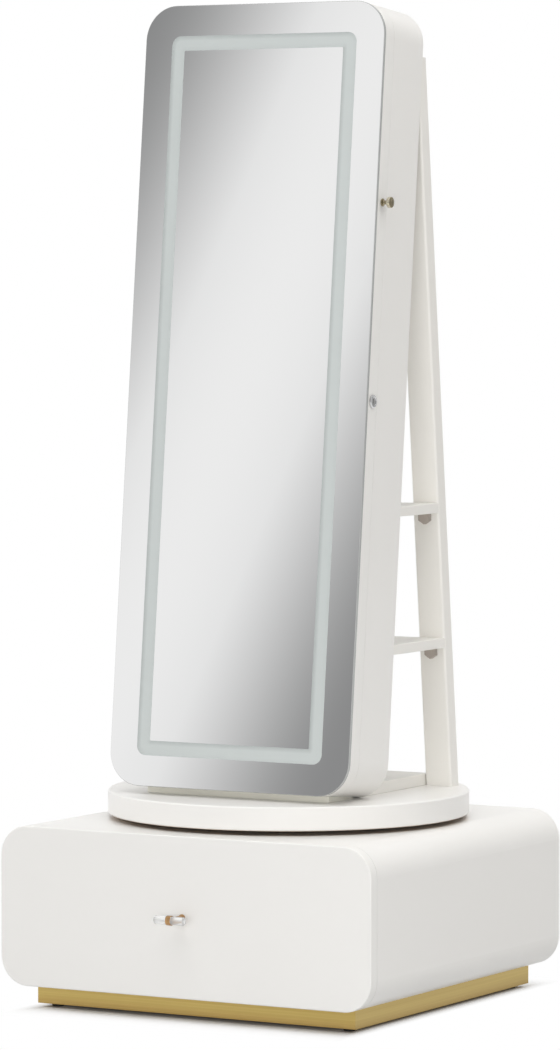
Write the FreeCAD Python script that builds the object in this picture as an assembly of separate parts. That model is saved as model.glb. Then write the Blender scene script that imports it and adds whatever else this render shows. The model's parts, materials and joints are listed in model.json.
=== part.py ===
import FreeCAD, Part
import math
import os

# Rotating full-length mirror: a lit mirror door on a leaning jewellery cabinet, which stands with two rear
# legs on a turntable over a wide drawer base. Millimetres, +Z up, x = 0 on the middle plane, -Y is the front,
# z = 0 is the floor and y = 0 is half way between the drawer pull and the back of the base.

# Drawer base
BASE_WIDTH = 640.0
BASE_DEPTH = 609.0
BASE_HEIGHT = 243.0
BASE_CORNER_RADIUS = 46.0
BASE_WALL = 18.0
BASE_RIM_EASE = 1.5
BASE_BACK_THICKNESS = 12.0
BASE_BACK_RECESS = 4.0
PANEL_CLEARANCE = 0.2

# Plinth and feet
FOOT_HEIGHT = 6.0
FOOT_DIAMETER = 18.0
FOOT_INSET = 22.0
FOOT_EASE = 1.0
PLINTH_HEIGHT = 29.4
PLINTH_BOARD = 18.0
PLINTH_SIDE_INSET = 44.7
PLINTH_FRONT_INSET = 34.0
PLINTH_BACK_INSET = 18.0
CORNER_BLOCK = 34.0

# Drawer
DRAWER_FRONT_THICKNESS = 18.0
DRAWER_FRONT_EASE = 2.0
DRAWER_FRONT_GAP = 0.8
DRAWER_REAR_ROOM = 75.0
DRAWER_HEADROOM = 41.0
DRAWER_BOX_LIFT = 16.0
DRAWER_BOARD = 12.0
DRAWER_BOTTOM_THICKNESS = 6.0
DRAWER_BOTTOM_LIFT = 10.0
DRAWER_GROOVE_DEPTH = 6.0
DRAWER_GROOVE_PLAY = 0.2
BOARD_EASE = 0.8

# Telescopic runners
RUNNER_THICKNESS = 12.7
RUNNER_HEIGHT = 45.0
RUNNER_SHORTFALL = 10.0
RUNNER_STEEL = 1.2
RUNNER_PLAY = 0.4
RUNNER_OUTER_FLANGE = 10.0

# Drawer pull: clear bar in a brass collar on a post
PULL_BAR_DIAMETER = 12.5
PULL_BAR_LENGTH = 50.0
PULL_BAR_EASE = 1.2
PULL_COLLAR_WALL = 1.1
PULL_COLLAR_WIDTH = 8.0
PULL_COLLAR_EASE = 0.5
PULL_BAR_FIT = 0.05
PULL_STANDOFF = 36.0
PULL_STEM_DIAMETER = 8.0
PULL_FOOT_DIAMETER = 11.0
PULL_FOOT_THICKNESS = 2.0
PULL_FOOT_FLARE = 1.5
PULL_SCREW_DIAMETER = 4.0
PULL_SCREW_HEAD_DIAMETER = 9.0
PULL_SCREW_HEAD_HEIGHT = 2.4
PULL_SCREW_BITE = 12.0
SCREW_CLEARANCE = 0.25

# Turntable disc and its ball bearing
DISC_DIAMETER = 555.0
DISC_THICKNESS = 36.0
DISC_EASE = 2.0
DISC_SETBACK = 319.0
BEARING_HEIGHT = 7.2
BEARING_PLATE_SIZE = 290.0
BEARING_PLATE_CORNER = 20.0
BEARING_PLATE_STEEL = 1.6
BEARING_WINDOW_DIAMETER = 150.0
BALL_CIRCLE_DIAMETER = 220.0
BALL_SEAT_DEPTH = 0.1
BALL_COUNT = 16
BALL_PLAY = 0.3
CAGE_WIDTH = 12.0
CAGE_THICKNESS = 1.4

# Leaning mirror cabinet, measured square to the mirror
CABINET_LEAN = 5.7
MIRROR_WIDTH = 416.0
MIRROR_HEIGHT = 1192.0
MIRROR_CORNER_RADIUS = 52.0
MIRROR_FORWARD = 189.0
CABINET_DEPTH = 123.3
CABINET_WALL = 16.0
CABINET_RIM_EASE = 0.8
CABINET_REST_GAP = 0.3
CABINET_BACK_THICKNESS = 6.0
CABINET_BACK_LAP = 7.0
GLASS_THICKNESS = 5.0
GLASS_BEVEL = 0.8
DOOR_FRAME_DEPTH = 26.0
DOOR_SEAM = 0.6
DOOR_BACK_THICKNESS = 4.0

# Light behind the frosted band of the glass
BAND_INSET = 47.0
BAND_WIDTH = 22.6
BAND_CORNER_RADIUS = 15.0
BAND_INNER_RADIUS = 2.0
BAND_ETCH_DEPTH = 0.3
LIGHT_CHANNEL_WIDTH = 10.0
LIGHT_CHANNEL_DEPTH = 16.0
LIGHT_CHANNEL_METAL = 1.5
LIGHT_STRIP_WIDTH = 8.0
LIGHT_STRIP_THICKNESS = 1.2
SWITCH_WIDTH = 36.0
SWITCH_HEIGHT = 24.0
SWITCH_THICKNESS = 4.0
SWITCH_RISE = 30.0

# Door knob and hook lock on the right side of the door
KNOB_DROP = 302.0
KNOB_LENGTH = 17.0
KNOB_FOOT_DIAMETER = 12.0
KNOB_FOOT_LENGTH = 1.8
KNOB_FOOT_FLARE = 1.4
KNOB_NECK_DIAMETER = 6.2
KNOB_HEAD_DIAMETER = 16.6
KNOB_HEAD_LENGTH = 8.6
KNOB_UNDERCUT = 2.6
KNOB_FACE_DIAMETER = 15.2
KNOB_FACE_EASE = 0.8
KNOB_FACE_RISE = 0.5
LOCK_BELOW_MIDDLE = 4.0
LOCK_FLANGE_DIAMETER = 20.0
LOCK_FLANGE_THICKNESS = 1.8
LOCK_BARREL_DIAMETER = 17.0
LOCK_BARREL_OVERHANG = 6.0
LOCK_BARREL_FIT = 0.15
LOCK_PLUG_DIAMETER = 12.0
LOCK_PLUG_FIT = 0.05
LOCK_PLUG_RECESS = 0.4
LOCK_TAIL_LENGTH = 4.0
KEYWAY_WIDTH = 1.8
KEYWAY_HEIGHT = 8.0
KEYWAY_DEPTH = 5.0
CAM_THICKNESS = 2.0
CAM_HALF_WIDTH = 6.5
CAM_HUB_DIAMETER = 15.0
STRIKER_DIAMETER = 5.0
STRIKER_PLAY = 0.6
STRIKER_OVERHANG = 2.0
STRIKER_SETBACK = 11.4
STRIKER_PLATE_DIAMETER = 15.0
STRIKER_PLATE_THICKNESS = 2.0
CAM_SLOT_MARGIN = 3.0

# Hinges on the left side of the door
HINGE_END_MARGIN = 150.0
HINGE_LENGTH = 66.0
HINGE_LEAF_THICKNESS = 1.2
HINGE_LEAF_WIDTH = 14.0
HINGE_LEAF_FIT = 0.1
HINGE_KNUCKLE_DIAMETER = 6.0
HINGE_PIN_DIAMETER = 3.0
HINGE_PIN_FIT = 0.05
HINGE_PIN_HEAD_HEIGHT = 1.2
HINGE_OFFSET = 3.6
HINGE_KNUCKLE_GAP = 0.4

# Door catches
CATCH_END_MARGIN = 190.0
CATCH_DIAMETER = 10.0
MAGNET_DEPTH = 6.0
CATCH_PLATE_THICKNESS = 1.5
CATCH_FIT = 0.1

# Inside the cabinet
INNER_SHELF_RISES = (150.0, 290.0, 430.0)
INNER_SHELF_THICKNESS = 10.0
INNER_SHELF_SETBACK = 12.0
INNER_SHELF_LIP_HEIGHT = 22.0
INNER_SHELF_LIP_THICKNESS = 6.0
PEG_DROP = 102.0
PEG_COUNT = 7
PEG_PITCH = 44.0
PEG_LENGTH = 34.0
PEG_DIAMETER = 6.0
PEG_HEAD_DIAMETER = 13.0
PEG_HEAD_LENGTH = 6.0

# Power inlet in the cabinet's back
INLET_X = 120.0
INLET_RISE = 70.0
INLET_FLANGE_DIAMETER = 16.0
INLET_FLANGE_THICKNESS = 2.0
INLET_BODY_DIAMETER = 11.0
INLET_BODY_LENGTH = 14.0
INLET_BORE_DIAMETER = 5.8
INLET_BORE_DEPTH = 9.5
INLET_PIN_DIAMETER = 2.1
INLET_FIT = 0.1

# Rear legs, shelves and their supports
LEG_WIDTH = 45.0
LEG_THICKNESS = 27.0
LEG_TOP_DROP = 69.4
LEG_SEAT_HEIGHT = 70.0
LEG_SIDE_INSET = 0.8
LEG_FOOT_SPAN = 209.0
LEG_EASE = 4.0
REAR_SHELF_THICKNESS = 15.0
REAR_SHELF_RISES = (231.0, 439.0)
SUPPORT_WIDTH = 18.0
SUPPORT_HEIGHT = 17.5
SUPPORT_SHOULDER = 11.5
SUPPORT_DEPTH = 9.0
TIE_BOARD_THICKNESS = 18.0
TIE_BOARD_CLEARANCE = 0.5
WEDGE_SIDE_INSET = 49.5
WEDGE_FRONT_SETBACK = 33.0
WEDGE_REAR_MARGIN = 14.0

# Derived places of the base
V = FreeCAD.Vector
PULL_REACH = PULL_STANDOFF + PULL_BAR_DIAMETER / 2 + PULL_BAR_FIT + PULL_COLLAR_WALL
OVERALL_DEPTH = BASE_DEPTH + PULL_REACH
BASE_BACK_Y = OVERALL_DEPTH / 2
BASE_FRONT_Y = BASE_BACK_Y - BASE_DEPTH
FRONT_BACK_FACE_Y = BASE_FRONT_Y + DRAWER_FRONT_THICKNESS
SHELL_FRONT_Y = FRONT_BACK_FACE_Y + DRAWER_FRONT_GAP
PLINTH_TOP_Z = FOOT_HEIGHT + PLINTH_HEIGHT
BASE_TOP_Z = PLINTH_TOP_Z + BASE_HEIGHT
BASE_MIDDLE_Z = PLINTH_TOP_Z + BASE_HEIGHT / 2
SHELL_INNER_HALF = BASE_WIDTH / 2 - BASE_WALL
SHELL_INNER_RADIUS = BASE_CORNER_RADIUS - BASE_WALL
SHELL_FLOOR_Z = PLINTH_TOP_Z + BASE_WALL
SHELL_CEILING_Z = BASE_TOP_Z - BASE_WALL
BASE_PANEL_Y = BASE_BACK_Y - BASE_BACK_RECESS - BASE_BACK_THICKNESS
DRAWER_BOX_LENGTH = BASE_PANEL_Y - DRAWER_REAR_ROOM - FRONT_BACK_FACE_Y
RUNNER_LENGTH = DRAWER_BOX_LENGTH - RUNNER_SHORTFALL

# Derived places of the turntable and the cabinet
DISC_BOTTOM_Z = BASE_TOP_Z + BEARING_HEIGHT
DISC_TOP_Z = DISC_BOTTOM_Z + DISC_THICKNESS
DISC_Y = BASE_FRONT_Y + DISC_SETBACK
BALL_DIAMETER = BEARING_HEIGHT - 2 * (BEARING_PLATE_STEEL - BALL_SEAT_DEPTH)
LEAN_TAN = math.tan(math.radians(CABINET_LEAN))
LEAN_SIN = math.sin(math.radians(CABINET_LEAN))
LEAN_COS = math.cos(math.radians(CABINET_LEAN))
CABINET_Y = DISC_Y - MIRROR_FORWARD
CABINET_Z = DISC_TOP_Z + CABINET_REST_GAP + CABINET_DEPTH * LEAN_SIN
MIRROR_HALF = MIRROR_WIDTH / 2
DOOR_BACK_D = GLASS_THICKNESS + DOOR_FRAME_DEPTH
BODY_FRONT_D = DOOR_BACK_D + DOOR_SEAM
BACK_PANEL_D = CABINET_DEPTH - CABINET_BACK_THICKNESS
CABINET_INNER_HALF = MIRROR_HALF - CABINET_WALL
CABINET_INNER_RADIUS = MIRROR_CORNER_RADIUS - CABINET_WALL
FITTING_D = GLASS_THICKNESS + DOOR_FRAME_DEPTH / 2
HINGE_X = -MIRROR_HALF - HINGE_OFFSET
HINGE_D = DOOR_BACK_D + DOOR_SEAM / 2
HINGE_RISES = (HINGE_END_MARGIN, MIRROR_HEIGHT / 2, MIRROR_HEIGHT - HINGE_END_MARGIN)
CATCH_RISES = (CATCH_END_MARGIN, MIRROR_HEIGHT - CATCH_END_MARGIN)
KNOB_RISE = MIRROR_HEIGHT - KNOB_DROP
LOCK_RISE = MIRROR_HEIGHT / 2 - LOCK_BELOW_MIDDLE
LOCK_BARREL_LENGTH = CABINET_WALL + LOCK_BARREL_OVERHANG
STRIKER_D = BODY_FRONT_D + STRIKER_SETBACK
STRIKER_LENGTH = LOCK_BARREL_OVERHANG + LOCK_TAIL_LENGTH + CAM_THICKNESS + STRIKER_OVERHANG
CAM_REACH = STRIKER_D - FITTING_D
LEG_TOP_Z = CABINET_Z - CABINET_DEPTH * LEAN_SIN + MIRROR_HEIGHT * LEAN_COS - LEG_TOP_DROP
LEG_MEET_Z = LEG_TOP_Z - LEG_SEAT_HEIGHT
LEG_TAN = LEG_FOOT_SPAN / (LEG_MEET_Z - DISC_TOP_Z) - LEAN_TAN
LEG_COS = 1 / math.sqrt(1 + LEG_TAN ** 2)


def rounded_prism(width, z_low, z_high, radius, y_front, y_back):
    """Upright rounded rectangle, centred on x = 0, drawn out from y_front to y_back."""
    half = width / 2
    centres = (
        (half - radius, z_low + radius),
        (half - radius, z_high - radius),
        (radius - half, z_high - radius),
        (radius - half, z_low + radius),
    )
    arcs = []
    for turn, (x, z) in enumerate(centres):
        points = []
        for step in (-90, -45, 0):
            angle = math.radians(step + 90 * turn)
            points.append(V(x + radius * math.cos(angle), y_front, z + radius * math.sin(angle)))
        arcs.append(points)
    edges = []
    for turn, points in enumerate(arcs):
        edges.append(Part.Arc(*points).toShape())
        edges.append(Part.LineSegment(points[2], arcs[(turn + 1) % 4][0]).toShape())
    face = Part.Face(Part.Wire(edges))
    return face.extrude(V(0, y_back - y_front, 0))


def side_prism(outline, x_low, x_high):
    """A (y, z) outline drawn out along X."""
    points = [V(x_low, y, z) for y, z in outline]
    face = Part.Face(Part.makePolygon(points + points[:1]))
    return face.extrude(V(x_high - x_low, 0, 0))


def front_prism(outline, y_front, y_back):
    """An (x, z) outline drawn out along Y."""
    points = [V(x, y_front, z) for x, z in outline]
    face = Part.Face(Part.makePolygon(points + points[:1]))
    return face.extrude(V(0, y_back - y_front, 0))


def board(x_low, x_high, y_low, y_high, z_low, z_high, ease=BOARD_EASE):
    """A flat board with its edges broken."""
    block = Part.makeBox(x_high - x_low, y_high - y_low, z_high - z_low, V(x_low, y_low, z_low))
    if ease:
        block = block.makeChamfer(ease, block.Edges)
    return block


def turned(profile, base, direction):
    """Revolves a (distance along the axis, radius) profile; the axis starts at base."""
    points = [V(radius, 0, along) for along, radius in profile]
    points.append(V(0, 0, profile[-1][0]))
    points.append(V(0, 0, profile[0][0]))
    face = Part.Face(Part.makePolygon(points + points[:1]))
    solid = face.revolve(V(0, 0, 0), V(0, 0, 1), 360)
    solid.Placement = FreeCAD.Placement(base, FreeCAD.Rotation(V(0, 0, 1), direction))
    return solid


def rim_edges(solid, y):
    """The edges of a solid that lie wholly in the plane at depth y."""
    found = []
    for edge in solid.Edges:
        box = edge.BoundBox
        if abs(box.YMin - y) < 1e-6 and abs(box.YMax - y) < 1e-6:
            found.append(edge)
    return found


def lean(shape):
    """Moves a shape from the cabinet's own frame (x, depth behind glass, rise) to its place."""
    placed = shape.copy()
    placed.rotate(V(0, 0, 0), V(1, 0, 0), -CABINET_LEAN)
    placed.translate(V(0, CABINET_Y, CABINET_Z))
    return placed


def lean_point(x, depth, rise):
    """The same move for one point."""
    y = CABINET_Y + depth * LEAN_COS + rise * LEAN_SIN
    z = CABINET_Z - depth * LEAN_SIN + rise * LEAN_COS
    return V(x, y, z)


def cabinet_back_y(z):
    """Depth of the cabinet's leaning back face at a height."""
    foot = lean_point(0, CABINET_DEPTH, 0)
    return foot.y + (z - foot.z) * LEAN_TAN


LEG_FOOT_Y = cabinet_back_y(DISC_TOP_Z) + LEG_FOOT_SPAN


def leg_front_y(z):
    """Depth of the rear legs' leaning front face at a height."""
    return LEG_FOOT_Y - (z - DISC_TOP_Z) * LEG_TAN


def base_pieces():
    """Shell, back panel, plinth, corner blocks and feet."""
    z_low, z_high = PLINTH_TOP_Z, BASE_TOP_Z
    shell = rounded_prism(BASE_WIDTH, z_low, z_high, BASE_CORNER_RADIUS, SHELL_FRONT_Y, BASE_BACK_Y)
    shell = shell.makeFillet(BASE_RIM_EASE, rim_edges(shell, BASE_BACK_Y))
    hollow = rounded_prism(
        2 * SHELL_INNER_HALF, SHELL_FLOOR_Z, SHELL_CEILING_Z, SHELL_INNER_RADIUS, SHELL_FRONT_Y, BASE_BACK_Y
    )
    play = PANEL_CLEARANCE
    panel = rounded_prism(
        2 * (SHELL_INNER_HALF - play),
        SHELL_FLOOR_Z + play,
        SHELL_CEILING_Z - play,
        SHELL_INNER_RADIUS - play,
        BASE_PANEL_Y,
        BASE_PANEL_Y + BASE_BACK_THICKNESS,
    )
    pieces = {"base_shell": shell.cut(hollow), "base_back_panel": panel}
    pieces.update(plinth_pieces())
    return pieces


def plinth_pieces():
    """Four mitred boards, a block in each corner and a foot under each block."""
    half = BASE_WIDTH / 2 - PLINTH_SIDE_INSET
    front = BASE_FRONT_Y + PLINTH_FRONT_INSET
    back = BASE_BACK_Y - PLINTH_BACK_INSET
    t = PLINTH_BOARD
    corners = ((-half, front), (half, front), (half, back), (-half, back))
    inner = ((t - half, front + t), (half - t, front + t), (half - t, back - t), (t - half, back - t))
    pieces = {}
    for index, side in enumerate(("front", "right", "back", "left")):
        after = (index + 1) % 4
        outline = (corners[index], corners[after], inner[after], inner[index])
        points = [V(x, y, FOOT_HEIGHT) for x, y in outline]
        face = Part.Face(Part.makePolygon(points + points[:1]))
        pieces["plinth_" + side] = face.extrude(V(0, 0, PLINTH_HEIGHT))
    blocks = []
    feet = []
    inward = ((1, 1), (-1, 1), (-1, -1), (1, -1))
    for (x, y), (corner_x, corner_y), (dx, dy) in zip(inner, corners, inward):
        x_low, x_high = sorted((x, x + dx * CORNER_BLOCK))
        y_low, y_high = sorted((y, y + dy * CORNER_BLOCK))
        blocks.append(board(x_low, x_high, y_low, y_high, FOOT_HEIGHT, PLINTH_TOP_Z, 0))
        glide = (
            (0, FOOT_DIAMETER / 2 - FOOT_EASE),
            (FOOT_EASE, FOOT_DIAMETER / 2),
            (FOOT_HEIGHT, FOOT_DIAMETER / 2),
        )
        feet.append(turned(glide, V(corner_x + dx * FOOT_INSET, corner_y + dy * FOOT_INSET, 0), V(0, 0, 1)))
    pieces["plinth_corner_blocks"] = Part.makeCompound(blocks)
    pieces["feet"] = Part.makeCompound(feet)
    return pieces


def runner_pieces():
    """Outer, middle and inner members of the two telescopic runners."""
    t = RUNNER_STEEL
    play = RUNNER_PLAY
    y_front = SHELL_FRONT_Y
    y_back = y_front + RUNNER_LENGTH
    wall = SHELL_INNER_HALF
    drawer = wall - RUNNER_THICKNESS
    half = RUNNER_HEIGHT / 2
    step = t + play
    mouth = wall - RUNNER_OUTER_FLANGE
    members = {}
    for order, name in enumerate(("outer", "middle")):
        web = wall - order * step
        top = half - order * step
        members[name] = channel(web, web - t, mouth, top, t)
    tip = wall - 2 * step
    members["inner"] = channel(drawer, drawer + t, tip, half - 2 * step, t)
    pieces = {}
    for name, outline in members.items():
        for side, sign in (("left", -1), ("right", 1)):
            points = [(sign * x, BASE_MIDDLE_Z + z) for x, z in outline]
            pieces["runner_" + name + "_" + side] = front_prism(points, y_front, y_back)
    return pieces


def channel(web_out, web_in, mouth, top, steel):
    """(x, z) outline of a channel whose flanges run from its web to the mouth."""
    return (
        (web_out, -top),
        (web_out, top),
        (mouth, top),
        (mouth, top - steel),
        (web_in, top - steel),
        (web_in, steel - top),
        (mouth, steel - top),
        (mouth, -top),
    )


def drawer_pieces():
    """Drawer front, box boards and the pull."""
    front = rounded_prism(
        BASE_WIDTH, PLINTH_TOP_Z, BASE_TOP_Z, BASE_CORNER_RADIUS, BASE_FRONT_Y, FRONT_BACK_FACE_Y
    )
    front = front.makeFillet(DRAWER_FRONT_EASE, rim_edges(front, BASE_FRONT_Y))
    screw_hole = Part.makeCylinder(
        PULL_SCREW_DIAMETER / 2 + SCREW_CLEARANCE,
        DRAWER_FRONT_THICKNESS,
        V(0, BASE_FRONT_Y, BASE_MIDDLE_Z),
        V(0, 1, 0),
    )
    half = SHELL_INNER_HALF - RUNNER_THICKNESS
    inner = half - DRAWER_BOARD
    z_low = SHELL_FLOOR_Z + DRAWER_BOX_LIFT
    z_high = SHELL_CEILING_Z - DRAWER_HEADROOM
    y_front = FRONT_BACK_FACE_Y
    y_back = y_front + DRAWER_BOX_LENGTH
    bottom_low = z_low + DRAWER_BOTTOM_LIFT
    bottom_high = bottom_low + DRAWER_BOTTOM_THICKNESS
    slot = inner + DRAWER_GROOVE_DEPTH
    play = DRAWER_GROOVE_PLAY
    groove = Part.makeBox(
        2 * slot, DRAWER_BOX_LENGTH, DRAWER_BOTTOM_THICKNESS + 2 * play, V(-slot, y_front, bottom_low - play)
    )
    bottom = board(play - slot, slot - play, y_front, y_back, bottom_low, bottom_high, 0)
    back_y = y_back - DRAWER_BOARD
    pieces = {
        "drawer_front": front.cut(screw_hole),
        "drawer_side_left": board(-half, -inner, y_front, y_back, z_low, z_high).cut(groove),
        "drawer_side_right": board(inner, half, y_front, y_back, z_low, z_high).cut(groove),
        "drawer_back": board(-inner, inner, back_y, y_back, bottom_high + play, z_high),
        "drawer_bottom": bottom,
    }
    pieces.update(pull_pieces())
    return pieces


def pull_pieces():
    """Clear bar, brass post with its collar, and the screw through the drawer front."""
    centre = V(0, BASE_FRONT_Y - PULL_STANDOFF, BASE_MIDDLE_Z)
    bar_radius = PULL_BAR_DIAMETER / 2
    half = PULL_BAR_LENGTH / 2
    bar_profile = (
        (-half, bar_radius - PULL_BAR_EASE),
        (PULL_BAR_EASE - half, bar_radius),
        (half - PULL_BAR_EASE, bar_radius),
        (half, bar_radius - PULL_BAR_EASE),
    )
    bore = bar_radius + PULL_BAR_FIT
    rim = bore + PULL_COLLAR_WALL
    wide = PULL_COLLAR_WIDTH / 2
    collar_profile = (
        (-wide, rim - PULL_COLLAR_EASE),
        (PULL_COLLAR_EASE - wide, rim),
        (wide - PULL_COLLAR_EASE, rim),
        (wide, rim - PULL_COLLAR_EASE),
    )
    x_axis = V(1, 0, 0)
    stem_radius = PULL_STEM_DIAMETER / 2
    foot_radius = PULL_FOOT_DIAMETER / 2
    post_profile = (
        (0, foot_radius),
        (PULL_FOOT_THICKNESS, foot_radius),
        (PULL_FOOT_THICKNESS + PULL_FOOT_FLARE, stem_radius),
        (PULL_STANDOFF, stem_radius),
    )
    on_face = V(0, BASE_FRONT_Y, BASE_MIDDLE_Z)
    post = turned(post_profile, on_face, V(0, -1, 0)).fuse(turned(collar_profile, centre, x_axis))
    post = post.cut(Part.makeCylinder(bore, PULL_BAR_LENGTH, centre - V(half, 0, 0), x_axis))
    screw_radius = PULL_SCREW_DIAMETER / 2
    tapped = Part.makeCylinder(screw_radius + PULL_BAR_FIT, PULL_SCREW_BITE, on_face, V(0, -1, 0))
    head_radius = PULL_SCREW_HEAD_DIAMETER / 2
    screw_profile = (
        (0, head_radius),
        (PULL_SCREW_HEAD_HEIGHT, head_radius),
        (PULL_SCREW_HEAD_HEIGHT, screw_radius),
        (PULL_SCREW_HEAD_HEIGHT + DRAWER_FRONT_THICKNESS + PULL_SCREW_BITE, screw_radius),
    )
    head = V(0, FRONT_BACK_FACE_Y + PULL_SCREW_HEAD_HEIGHT, BASE_MIDDLE_Z)
    return {
        "pull_bar": turned(bar_profile, centre, x_axis),
        "pull_post": post.cut(tapped).removeSplitter(),
        "pull_screw": turned(screw_profile, head, V(0, -1, 0)),
    }


def bearing_plate(z_low):
    """Square steel plate with round corners, an open middle and a rolled ball race."""
    upright = rounded_prism(
        BEARING_PLATE_SIZE,
        -BEARING_PLATE_SIZE / 2,
        BEARING_PLATE_SIZE / 2,
        BEARING_PLATE_CORNER,
        0,
        BEARING_PLATE_STEEL,
    )
    upright.rotate(V(0, 0, 0), V(1, 0, 0), 90)
    upright.translate(V(0, DISC_Y, z_low))
    window = Part.makeCylinder(BEARING_WINDOW_DIAMETER / 2, BEARING_PLATE_STEEL, V(0, DISC_Y, z_low))
    middle_z = BASE_TOP_Z + BEARING_HEIGHT / 2
    race = Part.makeTorus(BALL_CIRCLE_DIAMETER / 2, BALL_DIAMETER / 2 + BALL_PLAY, V(0, DISC_Y, middle_z))
    return upright.cut(window).cut(race)


def turntable_pieces():
    """Disc, bearing plates, ball cage and balls."""
    radius = DISC_DIAMETER / 2
    disc_profile = (
        (0, radius - DISC_EASE),
        (DISC_EASE, radius),
        (DISC_THICKNESS - DISC_EASE, radius),
        (DISC_THICKNESS, radius - DISC_EASE),
    )
    middle_z = BASE_TOP_Z + BEARING_HEIGHT / 2
    circle = BALL_CIRCLE_DIAMETER / 2
    cage_low = V(0, DISC_Y, middle_z - CAGE_THICKNESS / 2)
    cage = Part.makeCylinder(circle + CAGE_WIDTH / 2, CAGE_THICKNESS, cage_low)
    cage = cage.cut(Part.makeCylinder(circle - CAGE_WIDTH / 2, CAGE_THICKNESS, cage_low))
    pocket_radius = BALL_DIAMETER / 2 + BALL_PLAY
    balls = []
    for index in range(BALL_COUNT):
        angle = 2 * math.pi * index / BALL_COUNT
        offset = V(circle * math.cos(angle), circle * math.sin(angle), 0)
        cage = cage.cut(Part.makeCylinder(pocket_radius, CAGE_THICKNESS, cage_low + offset))
        balls.append(Part.makeSphere(BALL_DIAMETER / 2, V(0, DISC_Y, middle_z) + offset))
    return {
        "turntable_disc": turned(disc_profile, V(0, DISC_Y, DISC_BOTTOM_Z), V(0, 0, 1)),
        "bearing_plate_lower": bearing_plate(BASE_TOP_Z),
        "bearing_plate_upper": bearing_plate(DISC_BOTTOM_Z - BEARING_PLATE_STEEL),
        "bearing_cage": cage,
        "bearing_balls": Part.makeCompound(balls),
    }


def rear_stand_pieces():
    """Seat wedge, tie board, rear legs, shelves and shelf supports."""
    deep = LEG_THICKNESS / LEG_COS
    foot = lean_point(0, CABINET_DEPTH, 0)
    leg_outline = (
        (LEG_FOOT_Y, DISC_TOP_Z),
        (LEG_FOOT_Y + deep, DISC_TOP_Z),
        (leg_front_y(LEG_TOP_Z) + deep, LEG_TOP_Z),
        (cabinet_back_y(LEG_TOP_Z), LEG_TOP_Z),
        (cabinet_back_y(LEG_MEET_Z), LEG_MEET_Z),
    )
    outer = MIRROR_HALF - LEG_SIDE_INSET
    inner = outer - LEG_WIDTH
    pieces = {}
    for side, x_low in (("left", -outer), ("right", inner)):
        leg = side_prism(leg_outline, x_low, x_low + LEG_WIDTH)
        long_edges = [edge for edge in leg.Edges if edge.Length > (LEG_TOP_Z - DISC_TOP_Z) / 2]
        pieces["rear_leg_" + side] = leg.makeFillet(LEG_EASE, long_edges)
    under_legs = []
    under_cabinet = []
    for level, rise in zip(("lower", "upper"), REAR_SHELF_RISES):
        z_high = DISC_TOP_Z + rise
        z_low = z_high - REAR_SHELF_THICKNESS
        outline = (
            (cabinet_back_y(z_low), z_low),
            (leg_front_y(z_low), z_low),
            (leg_front_y(z_high), z_high),
            (cabinet_back_y(z_high), z_high),
        )
        shelf = side_prism(outline, -outer, outer)
        pieces["rear_shelf_" + level] = shelf.makeChamfer(BOARD_EASE, end_edges(shelf, outer))
        for x in (inner + LEG_WIDTH / 2, -inner - LEG_WIDTH / 2):
            under_legs.append(shelf_support(x, z_low, leg_front_y, -1))
            under_cabinet.append(shelf_support(x, z_low, cabinet_back_y, 1))
    pieces["shelf_supports_legs"] = Part.makeCompound(under_legs)
    pieces["shelf_supports_cabinet"] = Part.makeCompound(under_cabinet)
    wide = inner - TIE_BOARD_CLEARANCE
    tie_top = DISC_TOP_Z + TIE_BOARD_THICKNESS
    tie_front = cabinet_back_y(tie_top) + TIE_BOARD_CLEARANCE
    tie_back = LEG_FOOT_Y + deep / 2
    pieces["tie_board"] = board(-wide, wide, tie_front, tie_back, DISC_TOP_Z, tie_top)
    pieces["seat_wedge"] = seat_wedge(foot.y)
    return pieces


def end_edges(solid, half):
    """The edges round the two ends of a solid that spans x = -half to half."""
    found = []
    for edge in solid.Edges:
        box = edge.BoundBox
        if box.XLength < 1e-6 and abs(abs(box.XMin) - half) < 1e-6:
            found.append(edge)
    return found


def shelf_support(x, z_high, face_y, way):
    """Shield-shaped block under a shelf, seated on a leaning face; way is the side that it stands out to."""
    half = SUPPORT_WIDTH / 2
    shoulder = z_high - SUPPORT_SHOULDER
    z_low = z_high - SUPPORT_HEIGHT
    shield = ((x - half, z_high), (x + half, z_high), (x + half, shoulder), (x, z_low), (x - half, shoulder))
    seat = ((face_y(z_high), z_high), (face_y(z_low), z_low))
    reach = way * SUPPORT_DEPTH
    outline = seat + ((seat[1][0] + reach, z_low), (seat[0][0] + reach, z_high))
    depths = [y for y, z in outline]
    prism = front_prism(shield, min(depths), max(depths))
    return prism.common(side_prism(outline, x - half, x + half))


def seat_wedge(rest_y):
    """Wedge on the disc that carries the front of the cabinet's sloping bottom."""
    front_y = CABINET_Y + WEDGE_FRONT_SETBACK
    rear_y = rest_y - WEDGE_REAR_MARGIN
    outline = (
        (front_y, DISC_TOP_Z),
        (rear_y, DISC_TOP_Z),
        (rear_y, CABINET_Z - (rear_y - CABINET_Y) * LEAN_TAN),
        (front_y, CABINET_Z - (front_y - CABINET_Y) * LEAN_TAN),
    )
    half = MIRROR_HALF - WEDGE_SIDE_INSET
    return side_prism(outline, -half, half)


def hinge_cylinders(radius, start, length):
    """One round length of a hinge, in the cabinet's own frame."""
    return Part.makeCylinder(radius, length, V(HINGE_X, HINGE_D, start))


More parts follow.
